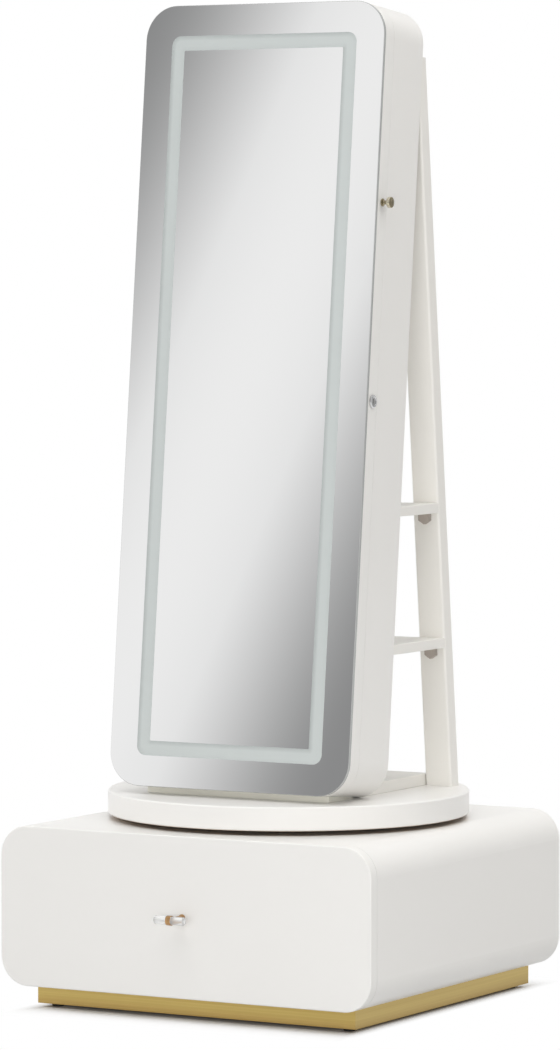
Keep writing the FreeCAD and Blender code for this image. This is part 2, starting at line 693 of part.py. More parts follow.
def hinge_pieces():
    """Leaves and pins of the door's three hinges, and the shallow beds that the leaves lie in."""
    knuckle = HINGE_KNUCKLE_DIAMETER / 2
    third = HINGE_LENGTH / 3
    gap = HINGE_KNUCKLE_GAP
    plate_x = -MIRROR_HALF
    t = HINGE_LEAF_THICKNESS
    door_d = DOOR_BACK_D - t
    leaves = {"door": [], "cabinet": []}
    beds = {"door": [], "cabinet": []}
    pins = []
    for rise in HINGE_RISES:
        low = rise - HINGE_LENGTH / 2
        spans = {
            "door": (door_d, [(low + third + gap / 2, third - gap)]),
            "cabinet": (BODY_FRONT_D, [(low, third - gap / 2), (low + 2 * third + gap / 2, third - gap / 2)]),
        }
        for part, (depth, lengths) in spans.items():
            leaf = Part.makeBox(HINGE_LEAF_WIDTH, t, HINGE_LENGTH, V(plate_x, depth, low))
            for start, length in lengths:
                neck = Part.makeBox(plate_x - HINGE_X, t, length, V(HINGE_X, depth, start))
                leaf = leaf.fuse(neck).fuse(hinge_cylinders(knuckle, start, length))
            bore = hinge_cylinders(HINGE_PIN_DIAMETER / 2 + HINGE_PIN_FIT, low, HINGE_LENGTH)
            leaves[part].append(leaf.cut(bore).removeSplitter())
            fit = HINGE_LEAF_FIT
            bed = Part.makeBox(
                HINGE_LEAF_WIDTH + fit, t, HINGE_LENGTH + 2 * fit, V(plate_x, depth, low - fit)
            )
            beds[part].append(bed)
        head = HINGE_PIN_HEAD_HEIGHT
        pin_profile = (
            (-head, knuckle),
            (0, knuckle),
            (0, HINGE_PIN_DIAMETER / 2),
            (HINGE_LENGTH, HINGE_PIN_DIAMETER / 2),
            (HINGE_LENGTH, knuckle),
            (HINGE_LENGTH + head, knuckle),
        )
        pins.append(turned(pin_profile, V(HINGE_X, HINGE_D, low), V(0, 0, 1)))
    pieces = {
        "hinge_leaves_door": lean(Part.makeCompound(leaves["door"])),
        "hinge_leaves_cabinet": lean(Part.makeCompound(leaves["cabinet"])),
        "hinge_pins": lean(Part.makeCompound(pins)),
    }
    return pieces, beds


def catch_discs(depth, thickness, extra):
    """Round catch pieces in the right-hand rim, in the cabinet's own frame."""
    x = MIRROR_HALF - CABINET_WALL / 2
    radius = CATCH_DIAMETER / 2 + extra
    return [Part.makeCylinder(radius, thickness, V(x, depth, rise), V(0, 1, 0)) for rise in CATCH_RISES]


def cabinet_pieces(beds):
    """Frame, back panel, inner shelves, pegs, catch magnets, striker and power inlet."""
    frame = rounded_prism(
        MIRROR_WIDTH, 0, MIRROR_HEIGHT, MIRROR_CORNER_RADIUS, BODY_FRONT_D, CABINET_DEPTH
    )
    frame = frame.makeFillet(CABINET_RIM_EASE, rim_edges(frame, CABINET_DEPTH))
    inner_top = MIRROR_HEIGHT - CABINET_WALL
    hollow = rounded_prism(
        2 * CABINET_INNER_HALF, CABINET_WALL, inner_top, CABINET_INNER_RADIUS, BODY_FRONT_D, BACK_PANEL_D
    )
    lap = CABINET_BACK_LAP
    rebate = rounded_prism(
        2 * (CABINET_INNER_HALF + lap),
        CABINET_WALL - lap,
        inner_top + lap,
        CABINET_INNER_RADIUS + lap,
        BACK_PANEL_D,
        CABINET_DEPTH,
    )
    play = PANEL_CLEARANCE
    panel = rounded_prism(
        2 * (CABINET_INNER_HALF + lap - play),
        CABINET_WALL - lap + play,
        inner_top + lap - play,
        CABINET_INNER_RADIUS + lap - play,
        BACK_PANEL_D,
        CABINET_DEPTH,
    )
    frame = frame.cut(hollow).cut(rebate)
    for pocket in beds["cabinet"] + catch_discs(BODY_FRONT_D, MAGNET_DEPTH, CATCH_FIT):
        frame = frame.cut(pocket)
    inlet, inlet_hole = power_inlet()
    pieces = {
        "cabinet_frame": lean(frame),
        "cabinet_back_panel": lean(panel.cut(inlet_hole)),
        "catch_magnets": lean(Part.makeCompound(catch_discs(BODY_FRONT_D, MAGNET_DEPTH, 0))),
        "power_inlet": lean(inlet),
        "lock_striker": lean(lock_striker()),
        "necklace_pegs": lean(necklace_pegs()),
    }
    for number, rise in enumerate(INNER_SHELF_RISES, 1):
        pieces["cabinet_shelf_" + str(number)] = lean(inner_shelf(rise))
    return pieces


def inner_shelf(rise):
    """Shelf board with a raised lip at its front."""
    front = BODY_FRONT_D + INNER_SHELF_SETBACK
    low = rise - INNER_SHELF_THICKNESS
    outline = (
        (front, low),
        (BACK_PANEL_D, low),
        (BACK_PANEL_D, rise),
        (front + INNER_SHELF_LIP_THICKNESS, rise),
        (front + INNER_SHELF_LIP_THICKNESS, low + INNER_SHELF_LIP_HEIGHT),
        (front, low + INNER_SHELF_LIP_HEIGHT),
    )
    half = CABINET_INNER_HALF - PANEL_CLEARANCE
    return side_prism(outline, -half, half)


def necklace_pegs():
    """Row of turned pegs on the inner face of the back panel."""
    profile = (
        (0, PEG_DIAMETER / 2),
        (PEG_LENGTH - PEG_HEAD_LENGTH, PEG_DIAMETER / 2),
        (PEG_LENGTH - PEG_HEAD_LENGTH, PEG_HEAD_DIAMETER / 2),
        (PEG_LENGTH - PEG_HEAD_LENGTH / 2, PEG_HEAD_DIAMETER / 2),
        (PEG_LENGTH, PEG_DIAMETER / 2),
    )
    pegs = []
    for index in range(PEG_COUNT):
        x = (index - (PEG_COUNT - 1) / 2) * PEG_PITCH
        pegs.append(turned(profile, V(x, BACK_PANEL_D, MIRROR_HEIGHT - PEG_DROP), V(0, -1, 0)))
    return Part.makeCompound(pegs)


def power_inlet():
    """Barrel inlet through the back panel, and the hole that it sits in."""
    base = V(INLET_X, CABINET_DEPTH + INLET_FLANGE_THICKNESS, INLET_RISE)
    inward = V(0, -1, 0)
    flange = INLET_FLANGE_DIAMETER / 2
    body = INLET_BODY_DIAMETER / 2
    length = INLET_FLANGE_THICKNESS + INLET_BODY_LENGTH
    profile = (
        (0, flange - PULL_COLLAR_EASE),
        (PULL_COLLAR_EASE, flange),
        (INLET_FLANGE_THICKNESS, flange),
        (INLET_FLANGE_THICKNESS, body),
        (length, body),
    )
    inlet = turned(profile, base, inward)
    inlet = inlet.cut(Part.makeCylinder(INLET_BORE_DIAMETER / 2, INLET_BORE_DEPTH, base, inward))
    inlet = inlet.fuse(Part.makeCylinder(INLET_PIN_DIAMETER / 2, length, base, inward)).removeSplitter()
    hole = Part.makeCylinder(body + INLET_FIT, length, base, inward)
    return inlet, hole


def lock_striker():
    """Pin on the inside of the cabinet's right wall that the lock's hook takes hold of."""
    base = V(CABINET_INNER_HALF, STRIKER_D, LOCK_RISE)
    profile = (
        (0, STRIKER_PLATE_DIAMETER / 2),
        (STRIKER_PLATE_THICKNESS, STRIKER_PLATE_DIAMETER / 2),
        (STRIKER_PLATE_THICKNESS, STRIKER_DIAMETER / 2),
        (STRIKER_LENGTH, STRIKER_DIAMETER / 2),
    )
    return turned(profile, base, V(-1, 0, 0))


def hook_cam(x_outer):
    """Flat hook that swings from upright (open) to pointing back (locked), in the cabinet's own frame."""
    axis = V(x_outer - CAM_THICKNESS, FITTING_D, LOCK_RISE)
    along = V(1, 0, 0)
    tip = CAM_REACH + STRIKER_DIAMETER / 2 + STRIKER_PLAY + CAM_HALF_WIDTH / 2
    arm = Part.makeBox(CAM_THICKNESS, tip, 2 * CAM_HALF_WIDTH, axis - V(0, 0, CAM_HALF_WIDTH))
    arm = arm.fuse(Part.makeCylinder(CAM_HUB_DIAMETER / 2, CAM_THICKNESS, axis, along))
    slot_half = STRIKER_DIAMETER / 2 + STRIKER_PLAY
    track = Part.makeCylinder(CAM_REACH + slot_half, CAM_THICKNESS, axis, along)
    track = track.cut(Part.makeCylinder(CAM_REACH - slot_half, CAM_THICKNESS, axis, along))
    mouth_low = axis - V(0, 0, 2 * CAM_HALF_WIDTH)
    mouth = Part.makeBox(CAM_THICKNESS, 2 * tip, 2 * CAM_HALF_WIDTH + slot_half, mouth_low)
    hook = arm.cut(track.common(mouth)).removeSplitter()
    hook.rotate(axis, along, 90)
    return hook


def lock_pieces():
    """Lock body, turning plug and hook; also the hole for the body in the door frame."""
    face = V(MIRROR_HALF, FITTING_D, LOCK_RISE)
    inward = V(-1, 0, 0)
    flange = LOCK_FLANGE_DIAMETER / 2
    barrel = LOCK_BARREL_DIAMETER / 2
    outer = face + V(LOCK_FLANGE_THICKNESS, 0, 0)
    length = LOCK_FLANGE_THICKNESS + LOCK_BARREL_LENGTH
    body_profile = (
        (0, flange - LOCK_FLANGE_THICKNESS / 2),
        (LOCK_FLANGE_THICKNESS / 2, flange),
        (LOCK_FLANGE_THICKNESS, flange),
        (LOCK_FLANGE_THICKNESS, barrel),
        (length, barrel),
    )
    body = turned(body_profile, outer, inward)
    body = body.cut(Part.makeCylinder(LOCK_PLUG_DIAMETER / 2 + LOCK_PLUG_FIT, length, outer, inward))
    plug_face = outer + V(-LOCK_PLUG_RECESS, 0, 0)
    plug_length = length - LOCK_PLUG_RECESS + LOCK_TAIL_LENGTH
    plug = Part.makeCylinder(LOCK_PLUG_DIAMETER / 2, plug_length, plug_face, inward)
    keyway_corner = plug_face + V(-KEYWAY_DEPTH, -KEYWAY_WIDTH / 2, -KEYWAY_HEIGHT / 2)
    plug = plug.cut(Part.makeBox(KEYWAY_DEPTH, KEYWAY_WIDTH, KEYWAY_HEIGHT, keyway_corner))
    cam_x = plug_face.x - plug_length
    hole = Part.makeCylinder(barrel + LOCK_BARREL_FIT, LOCK_BARREL_LENGTH, face, inward)
    pieces = {
        "lock_body": lean(body),
        "lock_plug": lean(plug),
        "lock_cam": lean(hook_cam(cam_x)),
    }
    return pieces, hole, cam_x


def glass_ring(outer_inset, inner_inset, outer_radius, y_front, y_back):
    """A flat ring that follows the mirror's outline between two insets, in the cabinet's own frame."""
    outer_top = MIRROR_HEIGHT - outer_inset
    inner_top = MIRROR_HEIGHT - inner_inset
    ring = rounded_prism(
        MIRROR_WIDTH - 2 * outer_inset, outer_inset, outer_top, outer_radius, y_front, y_back
    )
    hole = rounded_prism(
        MIRROR_WIDTH - 2 * inner_inset, inner_inset, inner_top, BAND_INNER_RADIUS, y_front, y_back
    )
    return ring.cut(hole)


def light_pieces():
    """Light channel behind the inner edge of the frosted band, the light strip on it and the touch switch."""
    outer = BAND_INSET + BAND_WIDTH + LIGHT_STRIP_THICKNESS
    inner = outer + LIGHT_CHANNEL_WIDTH
    channel_back = GLASS_THICKNESS + LIGHT_CHANNEL_DEPTH
    metal = LIGHT_CHANNEL_METAL
    radius = BAND_INNER_RADIUS
    channel_ring = glass_ring(outer, inner, radius, GLASS_THICKNESS, channel_back)
    trough = glass_ring(outer + metal, inner - metal, radius, GLASS_THICKNESS + metal, channel_back)
    strip_front = GLASS_THICKNESS + (LIGHT_CHANNEL_DEPTH - LIGHT_STRIP_WIDTH) / 2
    strip = glass_ring(
        outer - LIGHT_STRIP_THICKNESS, outer, radius, strip_front, strip_front + LIGHT_STRIP_WIDTH
    )
    switch = board(
        -SWITCH_WIDTH / 2,
        SWITCH_WIDTH / 2,
        GLASS_THICKNESS,
        GLASS_THICKNESS + SWITCH_THICKNESS,
        SWITCH_RISE - SWITCH_HEIGHT / 2,
        SWITCH_RISE + SWITCH_HEIGHT / 2,
    )
    return {
        "light_channel": lean(channel_ring.cut(trough)),
        "light_strip": lean(strip),
        "touch_switch": lean(switch),
    }


def door_pieces(beds, lock_hole, cam_x):
    """Glass, door frame, back panel, knob and catch plates."""
    glass = rounded_prism(MIRROR_WIDTH, 0, MIRROR_HEIGHT, MIRROR_CORNER_RADIUS, 0, GLASS_THICKNESS)
    glass = glass.makeChamfer(GLASS_BEVEL, rim_edges(glass, 0))
    band_end = BAND_INSET + BAND_WIDTH
    etch_front = GLASS_THICKNESS - BAND_ETCH_DEPTH
    glass = glass.cut(glass_ring(BAND_INSET, band_end, BAND_CORNER_RADIUS, etch_front, GLASS_THICKNESS))
    frame = rounded_prism(
        MIRROR_WIDTH, 0, MIRROR_HEIGHT, MIRROR_CORNER_RADIUS, GLASS_THICKNESS, DOOR_BACK_D
    )
    frame = frame.makeFillet(CABINET_RIM_EASE, rim_edges(frame, GLASS_THICKNESS))
    inner_top = MIRROR_HEIGHT - CABINET_WALL
    hollow = rounded_prism(
        2 * CABINET_INNER_HALF, CABINET_WALL, inner_top, CABINET_INNER_RADIUS, GLASS_THICKNESS, DOOR_BACK_D
    )
    frame = frame.cut(hollow).cut(lock_hole)
    plate_front = DOOR_BACK_D - CATCH_PLATE_THICKNESS
    for pocket in beds["door"] + catch_discs(plate_front, CATCH_PLATE_THICKNESS, CATCH_FIT):
        frame = frame.cut(pocket)
    play = PANEL_CLEARANCE
    panel_front = DOOR_BACK_D - DOOR_BACK_THICKNESS
    panel = rounded_prism(
        2 * (CABINET_INNER_HALF - play),
        CABINET_WALL + play,
        inner_top - play,
        CABINET_INNER_RADIUS - play,
        panel_front,
        DOOR_BACK_D,
    )
    margin = CAM_SLOT_MARGIN
    slot_low = V(cam_x - CAM_THICKNESS - margin, panel_front, LOCK_RISE - CAM_HALF_WIDTH - margin)
    slot_rise = CAM_REACH + 3 * CAM_HALF_WIDTH + 2 * margin
    cam_slot = Part.makeBox(CAM_THICKNESS + 2 * margin, DOOR_BACK_THICKNESS, slot_rise, slot_low)
    plates = catch_discs(plate_front, CATCH_PLATE_THICKNESS, 0)
    return {
        "mirror_glass": lean(glass),
        "door_frame": lean(frame),
        "door_back_panel": lean(panel.cut(cam_slot)),
        "door_knob": lean(door_knob()),
        "catch_plates": lean(Part.makeCompound(plates)),
    }


def door_knob():
    """Turned mushroom knob on the door's right side."""
    head = KNOB_HEAD_DIAMETER / 2
    neck = KNOB_NECK_DIAMETER / 2
    foot = KNOB_FOOT_DIAMETER / 2
    under = KNOB_LENGTH - KNOB_HEAD_LENGTH
    profile = (
        (0, foot),
        (KNOB_FOOT_LENGTH, foot),
        (KNOB_FOOT_LENGTH + KNOB_FOOT_FLARE, neck),
        (under, neck),
        (under + KNOB_UNDERCUT, head),
        (KNOB_LENGTH - KNOB_FACE_RISE - KNOB_FACE_EASE, head),
        (KNOB_LENGTH - KNOB_FACE_RISE, KNOB_FACE_DIAMETER / 2),
        (KNOB_LENGTH, KNOB_FACE_DIAMETER / 4),
    )
    return turned(profile, V(MIRROR_HALF, FITTING_D, KNOB_RISE), V(1, 0, 0))


def build():
    """Every node of the mirror by name."""
    nodes = {}
    nodes.update(base_pieces())
    nodes.update(runner_pieces())
    nodes.update(drawer_pieces())
    nodes.update(turntable_pieces())
    nodes.update(rear_stand_pieces())
    hinges, beds = hinge_pieces()
    nodes.update(hinges)
    nodes.update(cabinet_pieces(beds))
    lock, lock_hole, cam_x = lock_pieces()
    nodes.update(lock)
    nodes.update(light_pieces())
    nodes.update(door_pieces(beds, lock_hole, cam_x))
    return nodes


os.makedirs("parts", exist_ok=True)
nodes = build()
for name, shape in nodes.items():
    shape.exportStep("parts/" + name + ".step")
print(len(nodes), "nodes")
print("turntable axis", (0.0, round(DISC_Y, 3)))
print("door hinge point", tuple(round(v, 3) for v in lean_point(HINGE_X, HINGE_D, 0)))
print("lock axis point", tuple(round(v, 3) for v in lean_point(MIRROR_HALF, FITTING_D, LOCK_RISE)))
print("mirror bottom front", tuple(round(v, 3) for v in lean_point(0, 0, 0)))
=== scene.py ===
# %% [markdown]
# # A rotating full-length mirror, dressed for the camera
# The construction model already has every board, hinge and runner in its true place. This lesson keeps
# those solids, gives each one a finish worth looking at, and makes new meshes only where the eye needs
# more than the solids give: the silvered glass with its frosted band, the turned brass pieces, the clear
# pull bar and the small screws.

# %% Load the frame
import json
import math

import bmesh
import bpy
from mathutils import Matrix, Vector


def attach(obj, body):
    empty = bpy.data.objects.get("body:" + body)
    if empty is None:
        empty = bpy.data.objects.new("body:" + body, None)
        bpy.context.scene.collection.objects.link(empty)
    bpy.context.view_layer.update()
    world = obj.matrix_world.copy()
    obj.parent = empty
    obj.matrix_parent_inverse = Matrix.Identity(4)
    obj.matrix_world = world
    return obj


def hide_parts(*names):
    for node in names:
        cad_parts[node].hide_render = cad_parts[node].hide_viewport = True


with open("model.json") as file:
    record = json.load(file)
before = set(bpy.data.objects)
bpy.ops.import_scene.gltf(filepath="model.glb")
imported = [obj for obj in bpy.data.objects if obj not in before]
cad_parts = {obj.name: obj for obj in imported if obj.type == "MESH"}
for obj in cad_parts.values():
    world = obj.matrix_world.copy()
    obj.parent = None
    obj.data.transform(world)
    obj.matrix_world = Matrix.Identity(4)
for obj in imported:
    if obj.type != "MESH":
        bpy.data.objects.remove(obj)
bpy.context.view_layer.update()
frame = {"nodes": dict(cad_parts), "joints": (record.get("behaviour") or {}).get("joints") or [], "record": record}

# %% [markdown]
# ## Camera
# A product picture like this one is taken with a long lens from far away, so that upright edges stay
# almost parallel. The lens and the place were worked out from the straight edges of the piece: about
# thirty degrees to the right of the front, a little above the middle and tilted down three degrees. The
# same numbers go straight into a Blender camera.

# %% Camera
camera_data = bpy.data.cameras.new("camera")
camera_data.lens = 173.79
camera_data.sensor_width = 36.0
camera_data.clip_end = 100.0
camera = bpy.data.objects.new("camera", camera_data)
camera.location = (3.8473, -6.7036, 1.1277)
camera.rotation_euler = (math.radians(90 - 2.959), 0, math.radians(29.817))
bpy.context.scene.collection.objects.link(camera)
bpy.context.scene.camera = camera
bpy.context.scene.view_settings.view_transform = "Standard"
print("lens", camera_data.lens)

# %% [markdown]
# ## Small helpers for node trees
# Every finish below is a tree of shader nodes. Writing `nodes.new` and `links.new` again and again hides
# the idea, so five short helpers do it: one adds a node with some settings, one joins two sockets, and
# one starts a material and hands back its tree and its main shader. One mixes two colours by a mask and
# hands back the sockets. The last gives a mask that is one where a shader is seen directly, in a
# reflection or through clear material, and zero where its light only bounces on.

# %% Node helpers
def add_node(tree, kind, inputs=None, **settings):
    node = tree.nodes.new(kind)
    for name, value in settings.items():
        setattr(node, name, value)
    for name, value in (inputs or {}).items():
        node.inputs[name].default_value = value
    return node


def join(tree, source, target):
    tree.links.new(source, target)


def new_finish(name, **constants):
    material = bpy.data.materials.new(name)
    material.use_nodes = True
    tree = material.node_tree
    shader = tree.nodes["Principled BSDF"]
    for socket, value in constants.items():
        shader.inputs[socket.replace("_", " ")].default_value = value
    return material, tree, shader


def colour_mix(tree, mask):
    mix = add_node(tree, "ShaderNodeMix", data_type="RGBA")
    join(tree, mask, mix.inputs["Factor"])
    first, second = (socket for socket in mix.inputs if socket.type == "RGBA")
    output = next(socket for socket in mix.outputs if socket.type == "RGBA")
    return first, second, output


def seen_mask(tree):
    paths = add_node(tree, "ShaderNodeLightPath")
    mask = paths.outputs["Is Camera Ray"]
    for ray in ("Is Glossy Ray", "Is Transmission Ray"):
        either = add_node(tree, "ShaderNodeMath", operation="MAXIMUM")
        join(tree, mask, either.inputs[0])
        join(tree, paths.outputs[ray], either.inputs[1])
        mask = either.outputs[0]
    return mask


print("node helpers ready")

# %% [markdown]
# ## Light
# The piece is nearly all white, so the light has to model the form without burning it out. A pale world
# gives a little even light from everywhere. A very wide softbox hangs far overhead, far enough that the
# top of the cabinet is hardly brighter than the base. The box near the camera is low, so that shadows
# fall behind the piece and the front of the drawer is lighter than its right-hand side. Four more boxes,
# high in front, at the right (a little warm), at the left and behind, keep the corners behind the cabinet
# from going grey, and the back of the piece is lit as well as the front.

# %% World and softboxes
world = bpy.data.worlds.new("studio")
bpy.context.scene.world = world
world.use_nodes = True
tree = world.node_tree
strength = add_node(tree, "ShaderNodeMapRange", {"To Min": 0.35, "To Max": 1.0})
join(tree, seen_mask(tree), strength.inputs["Value"])
join(tree, strength.outputs[0], tree.nodes["Background"].inputs["Strength"])
tree.nodes["Background"].inputs["Color"].default_value = (1.0, 1.0, 1.0, 1.0)


def softbox(name, place, target, size, power, colour=(1.0, 1.0, 1.0)):
    data = bpy.data.lights.new(name, "AREA")
    data.shape = "RECTANGLE"
    data.size, data.size_y = size
    data.energy = power
    data.color = colour
    lamp = bpy.data.objects.new(name, data)
    lamp.location = place
    lamp.rotation_euler = (Vector(target) - Vector(place)).to_track_quat("-Z", "Y").to_euler()
    lamp.visible_camera = False
    lamp.visible_glossy = False
    bpy.context.scene.collection.objects.link(lamp)
    return lamp


softbox("softbox_above", (0.2, -0.6, 7.5), (0, 0, 0), (6.0, 6.0), 107.0)
softbox("softbox_camera_side", (1.7, -4.0, 0.6), (0, 0, 0.6), (2.6, 1.0), 51.0)
softbox("softbox_front_high", (0.8, -3.2, 4.4), (0, 0, 0.3), (3.0, 3.0), 57.0)
warm_white = (1.0, 0.98, 0.94)
softbox("softbox_right_high", (3.4, -0.4, 4.2), (0, 0, 0.3), (3.0, 3.0), 54.0, warm_white)
softbox("softbox_left", (-4.2, -0.6, 2.6), (0, 0, 0.4), (2.4, 2.4), 75.0)
softbox("softbox_behind", (0.6, 3.2, 3.8), (0.1, 0.1, 0.3), (2.6, 2.6), 53.0)
print("lamps", len(bpy.data.lights))

# %% [markdown]
# ## Floor
# The floor is plain and pale. Near the piece it is an ordinary matt surface, so that the contact shadow
# under the plinth is a real one. Further out it fades to pure white for the camera, which joins it to the
# white world with no horizon. The fade follows the outline of the plinth and is short, so that only a
# thin shadow frames it, narrower at the sides than in front. Light that bounces off the floor is a little
# duller than what the camera sees, so that the undersides of the rounded base keep their shade.

# %% Floor
floor_mesh = bpy.data.meshes.new("floor")
bm = bmesh.new()
bmesh.ops.create_circle(bm, cap_ends=True, radius=40.0, segments=96)
bm.to_mesh(floor_mesh)
bm.free()
floor = bpy.data.objects.new("floor", floor_mesh)
bpy.context.scene.collection.objects.link(floor)
print("floor", [round(v, 2) for v in floor.dimensions])

# %% Outline of the shadow
material, tree, shader = new_finish("studio_floor", Roughness=0.9, Specular_IOR_Level=0.0)
plinth_boards = [frame["nodes"]["plinth_" + side] for side in ("front", "back", "left", "right")]
plinth_corners = [Vector(corner) for board in plinth_boards for corner in board.bound_box]
plinth_low = Vector([min(corner[axis] for corner in plinth_corners) for axis in range(3)])
plinth_high = Vector([max(corner[axis] for corner in plinth_corners) for axis in range(3)])
coords = add_node(tree, "ShaderNodeTexCoord")
centred = add_node(tree, "ShaderNodeVectorMath", {1: (plinth_low + plinth_high) / 2}, operation="SUBTRACT")
join(tree, coords.outputs["Object"], centred.inputs[0])
quarter = add_node(tree, "ShaderNodeVectorMath", operation="ABSOLUTE")
join(tree, centred.outputs[0], quarter.inputs[0])
outside = add_node(tree, "ShaderNodeVectorMath", {1: (plinth_high - plinth_low) / 2}, operation="SUBTRACT")
join(tree, quarter.outputs[0], outside.inputs[0])
shadow_scale = (2.3, 0.75, 1.0)
shadow_shift = (0.026, 0.0, 0.0)
shadow_terms = {1: shadow_scale, 2: shadow_shift}
stretched = add_node(tree, "ShaderNodeVectorMath", shadow_terms, operation="MULTIPLY_ADD")
join(tree, outside.outputs[0], stretched.inputs[0])
sides = add_node(tree, "ShaderNodeSeparateXYZ")
join(tree, stretched.outputs[0], sides.inputs[0])
square = add_node(tree, "ShaderNodeMath", operation="MAXIMUM")
join(tree, sides.outputs["X"], square.inputs[0])
join(tree, sides.outputs["Y"], square.inputs[1])
fade_span = {"From Min": -0.01, "From Max": 0.075}
fade = add_node(tree, "ShaderNodeMapRange", fade_span, interpolation_type="SMOOTHSTEP")
join(tree, square.outputs[0], fade.inputs["Value"])
print("plinth outline", [round(v, 3) for v in plinth_low], [round(v, 3) for v in plinth_high])

# %% Floor finish
seen = seen_mask(tree)
bounce = add_node(tree, "ShaderNodeMapRange", {"To Min": 0.62, "To Max": 0.94})
join(tree, seen, bounce.inputs["Value"])
join(tree, bounce.outputs[0], shader.inputs["Base Color"])
amount = add_node(tree, "ShaderNodeMath", operation="MULTIPLY")
join(tree, fade.outputs[0], amount.inputs[0])
join(tree, seen, amount.inputs[1])
white = add_node(tree, "ShaderNodeEmission", {"Color": (1.0, 1.0, 1.0, 1.0), "Strength": 1.0})
blend = add_node(tree, "ShaderNodeMixShader")
join(tree, amount.outputs[0], blend.inputs[0])
join(tree, shader.outputs[0], blend.inputs[1])
join(tree, white.outputs[0], blend.inputs[2])
join(tree, blend.outputs[0], tree.nodes["Material Output"].inputs["Surface"])
floor_mesh.materials.append(material)
print("finish", material.name)

# %% [markdown]
# ## What the mirror sees
# A mirror has no look of its own: it shows the room. In a white room it would be a blank white sheet, so
# the studio has a round wall of soft grey stripes that only reflections can see. The stripes slant, and
# the wall is placed so that one bright stripe crosses the glass from the lower left to the upper right,
# with darker corners on both sides. The count of stripes is whole, so the pattern closes up behind, and
# level views of the turned glass find a soft gradient too. Towards the floor the stripes fade to white,
# so that no hard line shows where wall and floor meet in the glass. The length and direction of a
# reflection tell where it starts. Those that start below the cabinet see the wall nearly white, so that
# the satin tops of the base and the disc, which mirror it at a flat angle, stay pale.

# %% Reflection wall
wall_radius, wall_height = 3.2, 4.5
wall_mesh = bpy.data.meshes.new("reflection_wall")
bm = bmesh.new()
foot = bm.verts.new((wall_radius, 0, 0.0))
top = bm.verts.new((wall_radius, 0, wall_height))
edge = bm.edges.new((foot, top))
bmesh.ops.spin(
    bm, geom=[foot, top, edge], cent=(0, 0, 0), axis=(0, 0, 1), angle=math.tau, steps=96, use_merge=True
)
bm.to_mesh(wall_mesh)
bm.free()
wall = bpy.data.objects.new("reflection_wall", wall_mesh)
bpy.context.scene.collection.objects.link(wall)
print("wall", [round(v, 2) for v in wall.dimensions])

# %% Stripes on the wall
stripe_count = 19
stripe_lean = 1.781
stripe_shift = 12.437
material = bpy.data.materials.new("soft_stripes")
material.use_nodes = True
tree = material.node_tree
tree.nodes.remove(tree.nodes["Principled BSDF"])
coords = add_node(tree, "ShaderNodeTexCoord")
split = add_node(tree, "ShaderNodeSeparateXYZ")
join(tree, coords.outputs["Object"], split.inputs[0])
forward = add_node(tree, "ShaderNodeMath", {1: -1.0}, operation="MULTIPLY")
join(tree, split.outputs["Y"], forward.inputs[0])
bearing = add_node(tree, "ShaderNodeMath", operation="ARCTAN2")
join(tree, split.outputs["X"], bearing.inputs[0])
join(tree, forward.outputs[0], bearing.inputs[1])
stripe_terms = {1: float(stripe_count), 2: stripe_shift}
around = add_node(tree, "ShaderNodeMath", stripe_terms, operation="MULTIPLY_ADD")
join(tree, bearing.outputs[0], around.inputs[0])
slant = add_node(tree, "ShaderNodeMath", {1: -stripe_lean}, operation="MULTIPLY_ADD")
join(tree, split.outputs["Z"], slant.inputs[0])
join(tree, around.outputs[0], slant.inputs[2])
wave = add_node(tree, "ShaderNodeMath", operation="COSINE")
join(tree, slant.outputs[0], wave.inputs[0])
level = add_node(tree, "ShaderNodeMapRange", {"From Min": -1.0, "From Max": 1.0})
join(tree, wave.outputs[0], level.inputs["Value"])
ramp = add_node(tree, "ShaderNodeValToRGB")
ramp.color_ramp.elements[0].color = (0.272, 0.274, 0.276, 1.0)
ramp.color_ramp.elements[1].color = (0.90, 0.90, 0.90, 1.0)
knee = ramp.color_ramp.elements.new(0.785)
knee.color = (0.835, 0.837, 0.838, 1.0)
join(tree, level.outputs[0], ramp.inputs[0])
print("stripes", stripe_count)

# %% White foot of the wall, and what low reflections see
rise_span = {"From Min": 0.34, "From Max": 0.56}
rise = add_node(tree, "ShaderNodeMapRange", rise_span, interpolation_type="SMOOTHSTEP")
join(tree, split.outputs["Z"], rise.inputs["Value"])
paths = add_node(tree, "ShaderNodeLightPath")
geometry = add_node(tree, "ShaderNodeNewGeometry")
way_back = add_node(tree, "ShaderNodeVectorMath", operation="SCALE")
join(tree, geometry.outputs["Incoming"], way_back.inputs[0])
join(tree, paths.outputs["Ray Length"], way_back.inputs["Scale"])
start = add_node(tree, "ShaderNodeVectorMath", operation="ADD")
join(tree, geometry.outputs["Position"], start.inputs[0])
join(tree, way_back.outputs[0], start.inputs[1])
start_split = add_node(tree, "ShaderNodeSeparateXYZ")
join(tree, start.outputs[0], start_split.inputs[0])
above_disc, below_glass, faint_share = 0.322, 0.326, 0.3
start_span = {"From Min": above_disc, "From Max": below_glass, "To Min": faint_share}
starts_high = add_node(tree, "ShaderNodeMapRange", start_span)
join(tree, start_split.outputs["Z"], starts_high.inputs["Value"])
striped = add_node(tree, "ShaderNodeMath", operation="MULTIPLY")
join(tree, rise.outputs[0], striped.inputs[0])
join(tree, starts_high.outputs[0], striped.inputs[1])
white_foot, striped_top, faded = colour_mix(tree, striped.outputs[0])
white_foot.default_value = (1.0, 1.0, 1.0, 1.0)
join(tree, ramp.outputs[0], striped_top)
glow = add_node(tree, "ShaderNodeEmission", {"Strength": 1.0})
join(tree, faded, glow.inputs["Color"])
clear = add_node(tree, "ShaderNodeBsdfTransparent")
blend = add_node(tree, "ShaderNodeMixShader")
join(tree, paths.outputs["Is Glossy Ray"], blend.inputs[0])
join(tree, clear.outputs[0], blend.inputs[1])
join(tree, glow.outputs[0], blend.inputs[2])
